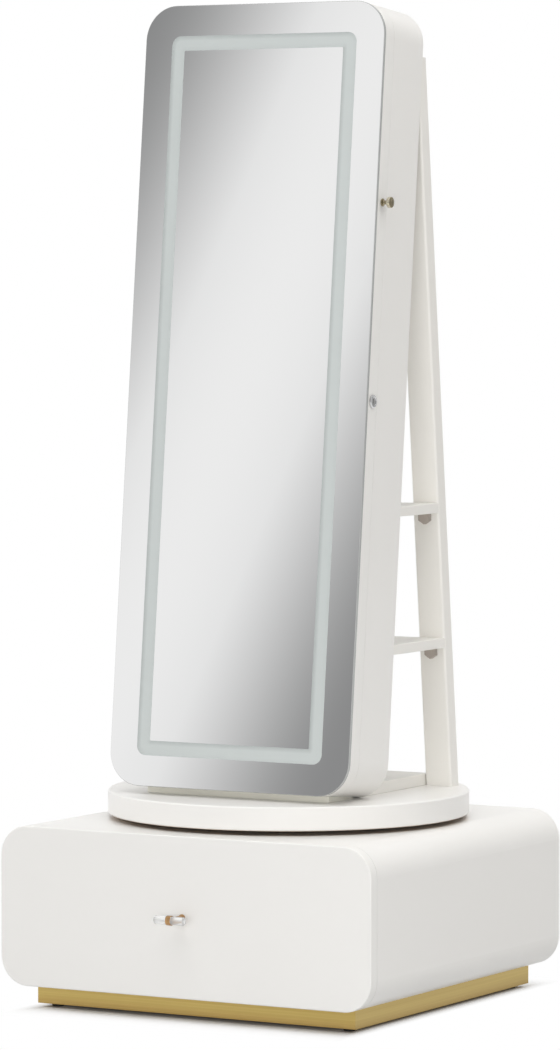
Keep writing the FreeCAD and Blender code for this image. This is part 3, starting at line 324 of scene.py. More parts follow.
join(tree, blend.outputs[0], tree.nodes["Material Output"].inputs["Surface"])
wall_mesh.materials.append(material)
print("finish", material.name)

# %% [markdown]
# ## Shared effects
# Three effects come back in many finishes: the faint unevenness of any sprayed or moulded skin, the fine
# lines that brushing leaves in metal, and the cloudy patches that hands leave on smooth things. Each one
# is a node group with named inputs, built once and set differently in each finish. Object coordinates are
# used throughout: every mesh here keeps its place in its vertices, so the patterns stay put and have true
# scale in metres.

# %% Group: skin of a sprayed or moulded surface
def new_group(name, inputs, outputs):
    group = bpy.data.node_groups.new(name, "ShaderNodeTree")
    for socket, value in inputs.items():
        made = group.interface.new_socket(name=socket, in_out="INPUT", socket_type="NodeSocketFloat")
        made.default_value = value
    for socket in outputs:
        group.interface.new_socket(name=socket, in_out="OUTPUT", socket_type="NodeSocketFloat")
    start = group.nodes.new("NodeGroupInput")
    end = group.nodes.new("NodeGroupOutput")
    return group, start, end


skin_group, start, end = new_group(
    "skin_unevenness", {"Drift Scale": 3.0, "Peel Scale": 420.0, "Drift Detail": 2.0}, ("Drift", "Peel")
)
coords = add_node(skin_group, "ShaderNodeTexCoord")
drift = add_node(skin_group, "ShaderNodeTexNoise", {"Roughness": 0.45})
join(skin_group, coords.outputs["Object"], drift.inputs["Vector"])
join(skin_group, start.outputs["Drift Scale"], drift.inputs["Scale"])
join(skin_group, start.outputs["Drift Detail"], drift.inputs["Detail"])
peel = add_node(skin_group, "ShaderNodeTexNoise", {"Detail": 2.0, "Roughness": 0.5})
join(skin_group, coords.outputs["Object"], peel.inputs["Vector"])
join(skin_group, start.outputs["Peel Scale"], peel.inputs["Scale"])
join(skin_group, drift.outputs["Fac"], end.inputs["Drift"])
join(skin_group, peel.outputs["Fac"], end.inputs["Peel"])
print("group", skin_group.name)

# %% Group: brush lines
brush_group, start, end = new_group(
    "brush_lines", {"Along X": 4.0, "Along Y": 4.0, "Along Z": 900.0, "Depth": 3.0}, ("Lines", "Streaks")
)
coords = add_node(brush_group, "ShaderNodeTexCoord")
stretch = add_node(brush_group, "ShaderNodeCombineXYZ")
for axis in "XYZ":
    join(brush_group, start.outputs["Along " + axis], stretch.inputs[axis])
along = add_node(brush_group, "ShaderNodeVectorMath", operation="MULTIPLY")
join(brush_group, coords.outputs["Object"], along.inputs[0])
join(brush_group, stretch.outputs[0], along.inputs[1])
lines = add_node(brush_group, "ShaderNodeTexNoise", {"Scale": 1.0, "Roughness": 0.7})
join(brush_group, along.outputs[0], lines.inputs["Vector"])
join(brush_group, start.outputs["Depth"], lines.inputs["Detail"])
wide = add_node(brush_group, "ShaderNodeTexNoise", {"Scale": 0.22, "Detail": 1.0})
join(brush_group, along.outputs[0], wide.inputs["Vector"])
join(brush_group, lines.outputs["Fac"], end.inputs["Lines"])
join(brush_group, wide.outputs["Fac"], end.inputs["Streaks"])
print("group", brush_group.name)

# %% Group: hand smudges
smudge_group, start, end = new_group("hand_smudges", {"Patch Scale": 22.0, "Threshold": 0.55}, ("Smudge",))
coords = add_node(smudge_group, "ShaderNodeTexCoord")
patch = add_node(smudge_group, "ShaderNodeTexNoise", {"Detail": 4.0, "Roughness": 0.6, "Distortion": 0.4})
join(smudge_group, coords.outputs["Object"], patch.inputs["Vector"])
join(smudge_group, start.outputs["Patch Scale"], patch.inputs["Scale"])
above = add_node(smudge_group, "ShaderNodeMapRange", {"From Max": 0.85}, interpolation_type="SMOOTHSTEP")
join(smudge_group, patch.outputs["Fac"], above.inputs["Value"])
join(smudge_group, start.outputs["Threshold"], above.inputs["From Min"])
join(smudge_group, above.outputs[0], end.inputs["Smudge"])
print("group", smudge_group.name)

# %% [markdown]
# ## Putting the groups to work
# Most finishes have the same skeleton: a group gives a mask, a colour mix turns the mask into a slight
# change of colour, a map range turns it into a change of roughness, and a bump gives it depth. These
# helpers place those pieces, and each finish then only says how strong they are.

# %% Finish helpers
def place_group(tree, group, **values):
    node = add_node(tree, "ShaderNodeGroup", node_tree=group)
    for socket, value in values.items():
        node.inputs[socket.replace("_", " ")].default_value = value
    return node


def two_tones(tree, mask, first, second, target):
    first_socket, second_socket, mixed = colour_mix(tree, mask)
    first_socket.default_value = (*first, 1.0)
    second_socket.default_value = (*second, 1.0)
    join(tree, mixed, target)


def span(tree, mask, low, high, target, start=0.3, stop=0.7):
    limits = {"From Min": start, "From Max": stop, "To Min": low, "To Max": high}
    scale = add_node(tree, "ShaderNodeMapRange", limits)
    join(tree, mask, scale.inputs["Value"])
    join(tree, scale.outputs[0], target)


def relief(tree, shader, height, depth, strength=1.0):
    bump = add_node(tree, "ShaderNodeBump", {"Strength": strength, "Distance": depth})
    join(tree, height, bump.inputs["Height"])
    join(tree, bump.outputs[0], shader.inputs["Normal"])


print("finish helpers ready")

# %% [markdown]
# ## White lacquer
# Nearly everything is board sprayed with a satin white lacquer. Real sprayed board is not one white: it
# drifts a little from cool to warm over half a metre, and its skin has a fine orange peel that softens
# every highlight. The drift changes colour and roughness, the peel is a shallow bump of a few hundredths
# of a millimetre, and a thin clear coat adds the sheen.

# %% White lacquer
def lacquer(name, first, second, gloss):
    material, tree, shader = new_finish(name, Coat_Weight=0.12, Coat_Roughness=0.2, IOR=1.5)
    skin = place_group(tree, skin_group, Drift_Scale=2.2, Peel_Scale=420.0)
    two_tones(tree, skin.outputs["Drift"], first, second, shader.inputs["Base Color"])
    span(tree, skin.outputs["Drift"], gloss - 0.04, gloss + 0.05, shader.inputs["Roughness"])
    relief(tree, shader, skin.outputs["Peel"], 0.00005, 0.3)
    return material


white_tones = ((0.862, 0.848, 0.820), (0.880, 0.868, 0.843))
satin = 0.36
white_lacquer = lacquer("white_lacquer", *white_tones, satin)
print("finish", white_lacquer.name)

# %% [markdown]
# ## Raw board under the disc, and the wedge
# The line under the disc is warm, so the disc is taken to be sprayed on its top and rim only, with raw
# brown fibre board below. That underside is hardly seen, but it tints the light in the gap. The height in
# Object coordinates tells it from the rest, so one material does both. The strip under the cabinet is
# creamy, so the wedge is taken to be only primed, and its primer is made paler still: painted light that
# lifts it out of the shadow of the cabinet. Legs, rear shelves and tie board stand in the shade behind the
# cabinet and get a warmer white of their own: painted warm shade, for light bounced between white boards.

# %% Disc and wedge
disc_lacquer = lacquer("disc_lacquer", *white_tones, satin)
tree = disc_lacquer.node_tree
shader = tree.nodes["Principled BSDF"]
painted = shader.inputs["Base Color"].links[0].from_socket
fibres = place_group(tree, skin_group, Drift_Scale=260.0, Peel_Scale=1500.0, Drift_Detail=4.0)
coords = add_node(tree, "ShaderNodeTexCoord")
split = add_node(tree, "ShaderNodeSeparateXYZ")
join(tree, coords.outputs["Object"], split.inputs[0])
disc_underside = frame["nodes"]["turntable_disc"].bound_box[0][2]
spray_creep = 0.0004
above = add_node(tree, "ShaderNodeMath", {1: disc_underside + spray_creep}, operation="GREATER_THAN")
join(tree, split.outputs["Z"], above.inputs[0])
raw_socket, painted_socket, board_colour = colour_mix(tree, above.outputs[0])
two_tones(tree, fibres.outputs["Drift"], (0.50, 0.33, 0.17), (0.36, 0.22, 0.10), raw_socket)
join(tree, painted, painted_socket)
join(tree, board_colour, shader.inputs["Base Color"])
# Painted warm shade: a warmer white for legs, rear shelves and tie board in the shade behind the cabinet.
shade_warmed_lacquer = lacquer("shade_warmed_lacquer", (0.862, 0.843, 0.800), (0.880, 0.863, 0.822), satin)
# Painted light: the wedge's cream primer is made paler, so that it stays bright in the cabinet's shadow.
wedge_primer_painted_light = lacquer("wedge_primer_painted_light", (0.920, 0.900, 0.800), (0.935, 0.918, 0.830), 0.50)
print("underside at", round(disc_underside, 4))
print("finishes", disc_lacquer.name, shade_warmed_lacquer.name, wedge_primer_painted_light.name)

# %% [markdown]
# ## Drawer board
# Drawer boxes are rarely lacquered. They are cut from board with a printed foil, often with a linen look:
# two sets of fine threads that cross. The brush-line group gives each set when it is stretched along one
# axis, and the lighter of the two wins.

# %% Linen foil board
linen_board, tree, shader = new_finish("linen_board", IOR=1.45)
warp = place_group(tree, brush_group, Along_X=620.0, Along_Y=14.0, Along_Z=620.0)
weft = place_group(tree, brush_group, Along_X=14.0, Along_Y=620.0, Along_Z=14.0)
threads = add_node(tree, "ShaderNodeMath", operation="MAXIMUM")
join(tree, warp.outputs["Lines"], threads.inputs[0])
join(tree, weft.outputs["Lines"], threads.inputs[1])
two_tones(tree, threads.outputs[0], (0.60, 0.56, 0.50), (0.80, 0.77, 0.72), shader.inputs["Base Color"])
span(tree, threads.outputs[0], 0.58, 0.48, shader.inputs["Roughness"])
relief(tree, shader, threads.outputs[0], 0.00008, 0.4)
print("finish", linen_board.name)

# %% [markdown]
# ## Brushed brass plinth
# The plinth is faced with thin brass-coloured sheet, brushed along its length. Brushing leaves lines that
# are long in X and Y and very fine in Z, so one setting of the brush group suits all four sides. The
# lines shift the colour between a paler and a deeper gold and change the roughness, which breaks the
# reflection into soft streaks. The lower half has painted shade: its colour darkens to brown towards the
# floor, a painted reflection of the floor's shadow. The two side boards carry more painted shade, darker
# all over and browner at the foot.

# %% Brushed brass, with painted shade towards the floor
def brushed(name, painted_foot_shade, painted_top_shade):
    material, tree, shader = new_finish(name, Metallic=1.0)
    brush = place_group(tree, brush_group, Along_X=5.0, Along_Y=5.0, Along_Z=1100.0)
    mask = add_node(tree, "ShaderNodeMath", operation="MULTIPLY")
    join(tree, brush.outputs["Lines"], mask.inputs[0])
    join(tree, brush.outputs["Streaks"], mask.inputs[1])
    wider = add_node(tree, "ShaderNodeMapRange", {"From Min": 0.12, "From Max": 0.38})
    join(tree, mask.outputs[0], wider.inputs["Value"])
    coords = add_node(tree, "ShaderNodeTexCoord")
    split = add_node(tree, "ShaderNodeSeparateXYZ")
    join(tree, coords.outputs["Object"], split.inputs[0])
    # Painted shade: from half way down to the foot the gold is tinted darker and browner, for the floor's shadow
    # seen in the metal.
    half_way = (plinth_low.z + plinth_high.z) / 2
    height = add_node(tree, "ShaderNodeMapRange", {"From Min": plinth_low.z, "From Max": half_way})
    join(tree, split.outputs["Z"], height.inputs["Value"])
    gold = add_node(tree, "ShaderNodeVectorMath", operation="MULTIPLY")
    deep_gold, pale_gold = (0.468, 0.338, 0.108), (0.566, 0.425, 0.149)
    two_tones(tree, wider.outputs[0], deep_gold, pale_gold, gold.inputs[0])
    two_tones(tree, height.outputs[0], painted_foot_shade, painted_top_shade, gold.inputs[1])
    join(tree, gold.outputs[0], shader.inputs["Base Color"])
    span(tree, brush.outputs["Lines"], 0.30, 0.44, shader.inputs["Roughness"])
    relief(tree, shader, brush.outputs["Lines"], 0.00002, 0.3)
    return material


# The tints are painted shade; the side boards get the darker pair.
brushed_brass = brushed("brushed_brass", (0.88, 0.80, 0.81), (1.0, 1.0, 1.0))
side_brass_painted_shade = brushed("brushed_brass_side_painted_shade", (0.70, 0.65, 0.62), (0.93, 0.94, 1.0))
print("finishes", brushed_brass.name, side_brass_painted_shade.name)

# %% [markdown]
# ## Aged brass
# The knob and the pull's post are small turned pieces with an antique finish: brass that was darkened and
# then rubbed, so that the proud parts are warm and the rest is brown. Patches from the smudge group stand
# for the rubbing, and a fine unevenness of the metal is kept in the roughness. The rim of the knob has a
# much paler brass of its own, which is a painted highlight for the glint of a lamp on that edge.

# %% Aged brass, and a painted highlight for the knob's rim
def aged_brass(name, dark, rubbed, patch):
    material, tree, shader = new_finish(name, Metallic=1.0)
    smudge = place_group(tree, smudge_group, Patch_Scale=patch, Threshold=0.3)
    two_tones(tree, smudge.outputs["Smudge"], dark, rubbed, shader.inputs["Base Color"])
    skin = place_group(tree, skin_group, Drift_Scale=160.0, Peel_Scale=1500.0)
    span(tree, skin.outputs["Drift"], 0.13, 0.27, shader.inputs["Roughness"])
    relief(tree, shader, skin.outputs["Peel"], 0.00003, 0.3)
    return material


knob_brass = aged_brass("aged_brass_knob", (0.25, 0.210, 0.130), (0.47, 0.41, 0.28), 120.0)
painted_highlight_brass = aged_brass("painted_highlight_knob_rim", (0.62, 0.56, 0.42), (0.88, 0.83, 0.70), 120.0)
collar_brass = aged_brass("aged_brass_collar", (0.36, 0.205, 0.090), (0.56, 0.36, 0.18), 90.0)
print("finishes", knob_brass.name, painted_highlight_brass.name, collar_brass.name)

# %% [markdown]
# ## Plated steel, chrome and aluminium
# Runners, bearing plates and hinges are zinc-plated steel: a cool grey metal with a faint cloudy bloom.
# The lock is satin chrome with a bright, smooth rim, and the light channel is mill-finish aluminium with
# drawing lines along its length. The crosses in the screw heads are the same steel made nearly black,
# which is painted shade for the depth of the cross. All are one recipe with different colour, roughness
# and lines.

# %% Plain metals
def plain_metal(name, first, second, smooth, rough, along):
    material, tree, shader = new_finish(name, Metallic=1.0)
    brush = place_group(tree, brush_group, Along_X=along[0], Along_Y=along[1], Along_Z=along[2])
    skin = place_group(tree, skin_group, Drift_Scale=55.0, Peel_Scale=900.0, Drift_Detail=4.0)
    two_tones(tree, skin.outputs["Drift"], first, second, shader.inputs["Base Color"])
    span(tree, brush.outputs["Lines"], smooth, rough, shader.inputs["Roughness"])
    relief(tree, shader, brush.outputs["Lines"], 0.00002, 0.25)
    return material


rolled_lines, turned_lines = (300.0, 6.0, 300.0), (60.0, 900.0, 900.0)
even_grain, drawn_lines = (300.0, 300.0, 300.0), (8.0, 500.0, 8.0)
zinc_steel = plain_metal("zinc_steel", (0.50, 0.51, 0.53), (0.66, 0.67, 0.68), 0.26, 0.40, rolled_lines)
lock_chrome = plain_metal("lock_chrome", (0.50, 0.50, 0.495), (0.62, 0.62, 0.615), 0.24, 0.36, turned_lines)
rim_chrome = plain_metal("rim_chrome", (0.60, 0.605, 0.610), (0.78, 0.780, 0.785), 0.05, 0.13, turned_lines)
# Painted shade for the crosses in the screw heads.
recess_shade_steel = plain_metal("recess_shade_steel", (0.05, 0.05, 0.052), (0.10, 0.10, 0.105), 0.35, 0.50, even_grain)
channel_tones = ((0.66, 0.67, 0.68), (0.76, 0.77, 0.78))
channel_aluminium = plain_metal("channel_aluminium", *channel_tones, 0.30, 0.42, drawn_lines)
print("finishes", zinc_steel.name, lock_chrome.name, rim_chrome.name, recess_shade_steel.name, channel_aluminium.name)

# %% [markdown]
# ## Plastics and rubber
# Feet, inlet, touch switch, ball cage and shelf supports are moulded. A moulded skin is a plain colour
# with a fine spark-eroded grain, so the skin group is set finer and deeper than for lacquer.

# %% Moulded pieces
def moulded(name, first, second, gloss, grain, depth):
    material, tree, shader = new_finish(name, IOR=1.46)
    skin = place_group(tree, skin_group, Drift_Scale=40.0, Peel_Scale=grain, Drift_Detail=3.0)
    two_tones(tree, skin.outputs["Drift"], first, second, shader.inputs["Base Color"])
    span(tree, skin.outputs["Peel"], gloss - 0.05, gloss + 0.07, shader.inputs["Roughness"])
    relief(tree, shader, skin.outputs["Peel"], depth, 0.5)
    return material


black_rubber = moulded("black_rubber", (0.018, 0.018, 0.018), (0.034, 0.033, 0.032), 0.78, 1400.0, 0.00012)
black_plastic = moulded("black_plastic", (0.022, 0.022, 0.023), (0.034, 0.034, 0.035), 0.42, 1800.0, 0.00004)
white_nylon = moulded("white_nylon", (0.80, 0.79, 0.75), (0.86, 0.85, 0.82), 0.45, 1600.0, 0.00004)
taupe_plastic = moulded("taupe_plastic", (0.385, 0.337, 0.298), (0.455, 0.403, 0.361), 0.50, 1500.0, 0.00005)
light_tape = moulded("light_tape", (0.84, 0.84, 0.80), (0.90, 0.90, 0.87), 0.40, 1200.0, 0.00003)
for made in (black_rubber, black_plastic, white_nylon, taupe_plastic, light_tape):
    print("finish", made.name)

# %% [markdown]
# ## Clear acrylic
# The pull bar is a polished clear rod. Polished acrylic is nearly all transmission and clean reflection,
# so its colour is close to white and the light does the work. The brass post hardly shows through it, so
# the rod is taken to be a little milky. Colour and roughness vary slightly, where fingers have touched
# it.

# %% Clear acrylic
clear_acrylic, tree, shader = new_finish("clear_acrylic", IOR=1.49, Transmission_Weight=0.7)
smudge = place_group(tree, smudge_group, Patch_Scale=70.0, Threshold=0.5)
clean_clear, touched_clear = (0.985, 0.99, 0.99), (0.96, 0.965, 0.965)
two_tones(tree, smudge.outputs["Smudge"], clean_clear, touched_clear, shader.inputs["Base Color"])
span(tree, smudge.outputs["Smudge"], 0.0, 0.05, shader.inputs["Roughness"], 0.0, 1.0)
print("finish", clear_acrylic.name)

# %% [markdown]
# ## Silvered glass, etched band and glass edge
# A mirror is glass with metal on its back, so it is simplest to give the front face a metal shader that
# reflects nine tenths of the light and is almost perfectly smooth. Where the silver was etched away, the
# glass turns into a pale diffuser for the light strip behind it: matt and faintly green inside, but still
# glossy in front, which is a clear coat over a rough base. The band lies behind the thickness of the
# glass, so its upper and left borders are in shade. That shade is stored on the pane's points as an
# attribute when the pane is made. The ground edge of the plate looks into the depth of the glass and is
# darker.

# %% Mirror finishes
silvered_mirror, tree, shader = new_finish("silvered_mirror", Metallic=1.0)
smudge = place_group(tree, smudge_group, Patch_Scale=5.0, Threshold=0.6)
clean_silver, touched_silver = (0.921, 0.921, 0.920), (0.906, 0.907, 0.906)
two_tones(tree, smudge.outputs["Smudge"], clean_silver, touched_silver, shader.inputs["Base Color"])
span(tree, smudge.outputs["Smudge"], 0.004, 0.03, shader.inputs["Roughness"], 0.0, 1.0)

etched_band, tree, shader = new_finish("etched_band", IOR=1.5, Coat_Weight=0.6, Coat_Roughness=0.06)
skin = place_group(tree, skin_group, Drift_Scale=3.5, Peel_Scale=1600.0)
depth = add_node(tree, "ShaderNodeAttribute", attribute_name="band_shade")
uneven = add_node(tree, "ShaderNodeMath", {1: 0.16, 2: -0.08}, operation="MULTIPLY_ADD")
join(tree, skin.outputs["Drift"], uneven.inputs[0])
shade = add_node(tree, "ShaderNodeMath", operation="ADD", use_clamp=True)
join(tree, depth.outputs["Fac"], shade.inputs[0])
join(tree, uneven.outputs[0], shade.inputs[1])
lit_frost, shaded_frost = (0.575, 0.612, 0.602), (0.435, 0.468, 0.460)
two_tones(tree, shade.outputs[0], lit_frost, shaded_frost, shader.inputs["Base Color"])
span(tree, skin.outputs["Peel"], 0.50, 0.62, shader.inputs["Roughness"])
relief(tree, shader, skin.outputs["Peel"], 0.00003, 0.25)

glass_edge, tree, shader = new_finish("ground_glass_edge", IOR=1.5, Coat_Weight=0.5, Coat_Roughness=0.08)
skin = place_group(tree, skin_group, Drift_Scale=9.0, Peel_Scale=900.0)
dark_edge, pale_edge = (0.37, 0.380, 0.376), (0.45, 0.458, 0.454)
two_tones(tree, skin.outputs["Drift"], dark_edge, pale_edge, shader.inputs["Base Color"])
span(tree, skin.outputs["Peel"], 0.16, 0.28, shader.inputs["Roughness"])

mirror_backing = moulded("mirror_backing", (0.30, 0.31, 0.32), (0.36, 0.37, 0.38), 0.6, 700.0, 0.00004)
print("finishes", silvered_mirror.name, etched_band.name, glass_edge.name)

# %% [markdown]
# ## Dressing the solids
# The record says which finish slot each solid belongs to. One loop hands the materials out, so no piece
# can be forgotten. The few boards with a finish of their own are looked up first. Only materials are set:
# the shapes of the solids are not touched.

# %% Materials by slot
slot_finish = {
    "white_lacquer": white_lacquer,
    "drawer_board": linen_board,
    "brushed_brass": brushed_brass,
    "black_rubber": black_rubber,
    "zinc_steel": zinc_steel,
    "white_nylon": white_nylon,
    "clear_acrylic": clear_acrylic,
    "antique_brass": knob_brass,
    "lock_chrome": lock_chrome,
    "silvered_mirror": silvered_mirror,
    "channel_aluminium": channel_aluminium,
    "light_tape": light_tape,
    "taupe_plastic": taupe_plastic,
    "black_plastic": black_plastic,
}
# Painted shade and light ride on some of these finishes: the warmer white, the paler wedge primer and the darker
# side brass.
special_finish = {
    "turntable_disc": disc_lacquer,
    "seat_wedge": wedge_primer_painted_light,
    "plinth_left": side_brass_painted_shade,
    "plinth_right": side_brass_painted_shade,
    "rear_leg_left": shade_warmed_lacquer,
    "rear_leg_right": shade_warmed_lacquer,
    "rear_shelf_lower": shade_warmed_lacquer,
    "rear_shelf_upper": shade_warmed_lacquer,
    "tie_board": shade_warmed_lacquer,
}
for entry in frame["record"]["subparts"]:
    solid = frame["nodes"][entry["node"]]
    solid.data.materials.clear()
    usual = slot_finish[entry["material_slot"]]
    solid.data.materials.append(special_finish.get(entry["node"], usual))

# %% [markdown]
# ## The leaning frame of the mirror
# The mirror leans back, and it is far easier to model it upright: x across, y into the glass, z up the
# glass, with the origin at the middle of its lower edge. One matrix then leans the finished mesh into
# place. Its angle comes from the door's hinge axis, which runs up the glass, and its foot is where the
# construction model puts the lower edge.

# %% Leaning matrix and a helper that finishes an object
door_axis = next(joint["axis"] for joint in frame["joints"] if joint["name"] == "mirror_door_swing")
lean_angle = math.atan2(-door_axis[1], -door_axis[2])
glass_foot = Vector((0.0, -0.1528, 0.334146))
lean = Matrix.Translation(glass_foot) @ Matrix.Rotation(-lean_angle, 4, "X")
print("lean", round(math.degrees(lean_angle), 3))


def finish_piece(bm, name, materials, body, replaced=(), smooth_angle=None):
    bmesh.ops.remove_doubles(bm, verts=bm.verts, dist=1e-6)
    bmesh.ops.recalc_face_normals(bm, faces=bm.faces)
    if smooth_angle is not None:
        for face in bm.faces:
            face.smooth = True
        for edge in bm.edges:
            edge.smooth = edge.is_manifold and edge.calc_face_angle(0.0) < math.radians(smooth_angle)
    mesh = bpy.data.meshes.new(name)
    bm.to_mesh(mesh)
    bm.free()
    for material in materials:
        mesh.materials.append(material)
    piece = bpy.data.objects.new(name, mesh)
    bpy.context.scene.collection.objects.link(piece)
    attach(piece, body)
    if replaced:
        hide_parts(*replaced)
    print(name, len(mesh.polygons), "faces")
    return piece


# %% [markdown]
# ## The mirror pane
# The pane is a flat plate, but its front has four regions: a silvered margin, the etched band, the
# silvered middle and the small ground bevel at the rim. A good way to get clean borders is to make each
# border as a rounded rectangle, which is a single-face grid with its four corners bevelled as vertices.
# The rim and its bevel are bridged from one border to the next, and the flat regions are filled between
# two borders, which keeps them dead flat.

# %% Rounded borders of the pane
glass_width, glass_height, glass_radius = 0.416, 1.192, 0.052
glass_thick, glass_bevel = 0.005, 0.0008
band_inset, band_width, band_fade = 0.047, 0.0226, 0.0072
outer_radius, clear_radius, near_radius, inner_radius = 0.015, 0.010, 0.006, 0.002
silver_index, frost_index, edge_index, back_index = range(4)


def rounded_loop(bm, inset, radius, depth):
    verts = bmesh.ops.create_grid(bm, x_segments=1, y_segments=1, size=0.5)["verts"]
    size = (glass_width - 2 * inset, glass_height - 2 * inset, 1.0)
    bmesh.ops.scale(bm, vec=size, verts=verts)
    bmesh.ops.rotate(bm, matrix=Matrix.Rotation(math.radians(90), 3, "X"), verts=verts)
    bmesh.ops.translate(bm, vec=(0, depth, glass_height / 2), verts=verts)
    bmesh.ops.bevel(
        bm, geom=verts, offset=radius, segments=14, profile=0.5, affect="VERTICES", material=-1
    )
    face = next(iter(bm.faces))
    edges = list(face.edges)
    bmesh.ops.delete(bm, geom=[face], context="FACES_ONLY")
    return edges


print("glass", glass_width, "by", glass_height)

# %% Mirror pane
pane = bmesh.new()
rim_back = rounded_loop(pane, 0.0, glass_radius, glass_thick)
rim_front = rounded_loop(pane, 0.0, glass_radius, glass_bevel)
face_rim = rounded_loop(pane, glass_bevel, glass_radius - glass_bevel, 0.0)
band_outer = rounded_loop(pane, band_inset, outer_radius, 0.0)
band_clear = rounded_loop(pane, band_inset + band_fade, clear_radius, 0.0)
band_near = rounded_loop(pane, band_inset + band_width - band_fade, near_radius, 0.0)
band_inner = rounded_loop(pane, band_inset + band_width, inner_radius, 0.0)
for first, second in ((rim_back, rim_front), (rim_front, face_rim)):
    for face in bmesh.ops.bridge_loops(pane, edges=first + second)["faces"]:
        face.material_index = edge_index
flat_regions = (
    (face_rim + band_outer, silver_index),
    (band_outer + band_clear, frost_index),
    (band_clear + band_near, frost_index),
    (band_near + band_inner, frost_index),
    (band_inner, silver_index),
    (rim_back, back_index),
)
for edges, finish in flat_regions:
    outward = (0, 1 if finish == back_index else -1, 0)
    filled = bmesh.ops.triangle_fill(pane, use_beauty=True, edges=edges, normal=outward)
    for face in filled["geom"]:
        if isinstance(face, bmesh.types.BMFace):
            face.material_index = finish
print("pane", len(pane.faces), "faces")

# %% Shade on the band's borders
band_shade = pane.verts.layers.float.new("band_shade")
glass_middle = Vector((0, 0, glass_height / 2))
least_shade = 0.22


def shade_border(edges, inset, radius, sign):
    straight = Vector((glass_width / 2 - inset - radius, 0, glass_height / 2 - inset - radius))
    for vert in {vert for edge in edges for vert in edge.verts}:
        away = vert.co - glass_middle
        for axis in (0, 2):
            away[axis] -= max(-straight[axis], min(straight[axis], away[axis]))
        up_left = sign * (away.z - away.x) / radius
        share = max(0.0, min(1.0, 0.5 + 0.5 * up_left))
        vert[band_shade] = least_shade + (1.0 - least_shade) * share


shade_border(band_outer, band_inset, outer_radius, 1)
shade_border(band_inner, band_inset + band_width, inner_radius, -1)
print("shaded borders", len(band_outer) + len(band_inner), "points")

# %% Lean the pane into place
bmesh.ops.transform(pane, matrix=lean, verts=pane.verts)
finish_piece(
    pane,
    "mirror_pane",
    (silvered_mirror, etched_band, glass_edge, mirror_backing),
    "mirror_door",
    ("mirror_glass",),
    40,
)

# %% [markdown]
# ## Turned pieces
# Knob, post and bar come from a lathe, and a lathe is a spin: draw half the section, round its corners,
# and turn it once about its axis. The section is drawn as a flat face so that its corners can be bevelled
# as vertices, then the face and the edge on the axis are removed and the rest is spun.

# %% Lathe helper
tiny = 1e-7


def turned(section, rounding, place, direction, steps=64):
    lathe = bmesh.new()
    verts = [lathe.verts.new((radius, 0, along)) for along, radius in section]
    lathe.faces.new(verts)
    corners = [v for v in verts if v.co.x > tiny]
    bmesh.ops.bevel(
        lathe,
        geom=corners,
        offset=rounding,
        segments=4,
        profile=0.5,
        affect="VERTICES",
        clamp_overlap=True,
        material=-1,
    )
    bmesh.ops.delete(lathe, geom=lathe.faces[:], context="FACES_ONLY")
    on_axis = [e for e in lathe.edges if max(v.co.x for v in e.verts) < tiny]
    bmesh.ops.delete(lathe, geom=on_axis, context="EDGES")
    half_section = lathe.verts[:] + lathe.edges[:]
    bmesh.ops.spin(
        lathe,
        geom=half_section,
        cent=(0, 0, 0),
        axis=(0, 0, 1),
        angle=math.tau,
        steps=steps,
        use_merge=True,
    )
    turn = Vector((0, 0, 1)).rotation_difference(Vector(direction)).to_matrix().to_4x4()
    bmesh.ops.transform(lathe, matrix=Matrix.Translation(place) @ turn, verts=lathe.verts)
    return lathe


def add_part(target, part):
    mesh = bpy.data.meshes.new("part")
    part.to_mesh(mesh)
    part.free()
    target.from_mesh(mesh)
    bpy.data.meshes.remove(mesh)


print("lathe ready")

# %% [markdown]
# ## Drawer pull
# A clear bar lies in a brass collar, and the collar sits on a short brass post with a small foot against
# the drawer front. The bar is a plain rod with polished, slightly rounded ends. The collar is a ring, so
# its section does not reach the axis: it is a closed little rectangle, and the same lathe turns it.

# %% Clear bar
base_front_y, pull_height, pull_standoff = -0.2826, 0.1569, 0.036
pull_centre = Vector((0.0, base_front_y - pull_standoff, pull_height))
bar_half, bar_radius, bar_ease = 0.025, 0.00625, 0.0012
bar_section = ((-bar_half, 0), (-bar_half, bar_radius), (bar_half, bar_radius), (bar_half, 0))
bar = turned(bar_section, bar_ease, pull_centre, (1, 0, 0), 72)
finish_piece(bar, "clear_pull_bar", (clear_acrylic,), "drawer", ("pull_bar",), 35)

# %% Post and collar
foot_radius, post_radius, post_length = 0.0055, 0.004, 0.0293
post_section = (
    (0, 0),
    (0, foot_radius),
    (0.002, foot_radius),
    (0.0035, post_radius),
    (post_length, post_radius),
    (post_length, 0),
)
post = turned(post_section, 0.0005, Vector((0, base_front_y, pull_height)), (0, -1, 0))
half_width, bore, outside = 0.004, 0.00632, 0.0074
collar_section = ((-half_width, bore), (-half_width, outside), (half_width, outside), (half_width, bore))
add_part(post, turned(collar_section, 0.0004, pull_centre, (1, 0, 0), 72))
finish_piece(post, "brass_pull_post", (collar_brass,), "drawer", ("pull_post",), 35)

# %% [markdown]
# ## Door knob
# The small knob on the door's right side is a turned mushroom: a round foot against the door, a slim
# neck, a flared underside and a nearly flat face with a soft rim. It stands square to the door's side, so
# only its place leans.

# %% Door knob
knob_section = (
    (0, 0),
    (0, 0.0060),
    (0.0018, 0.0060),
    (0.0032, 0.0031),
    (0.0084, 0.0031),
    (0.0110, 0.0083),
    (0.0157, 0.0083),
    (0.0165, 0.0076),
    (0.0170, 0.0038),
    (0.0170, 0),
)
fitting_depth, knob_rise = 0.018, 0.890
knob_place = lean @ Vector((glass_width / 2, fitting_depth, knob_rise))
knob = turned(knob_section, 0.0006, knob_place, (1, 0, 0))
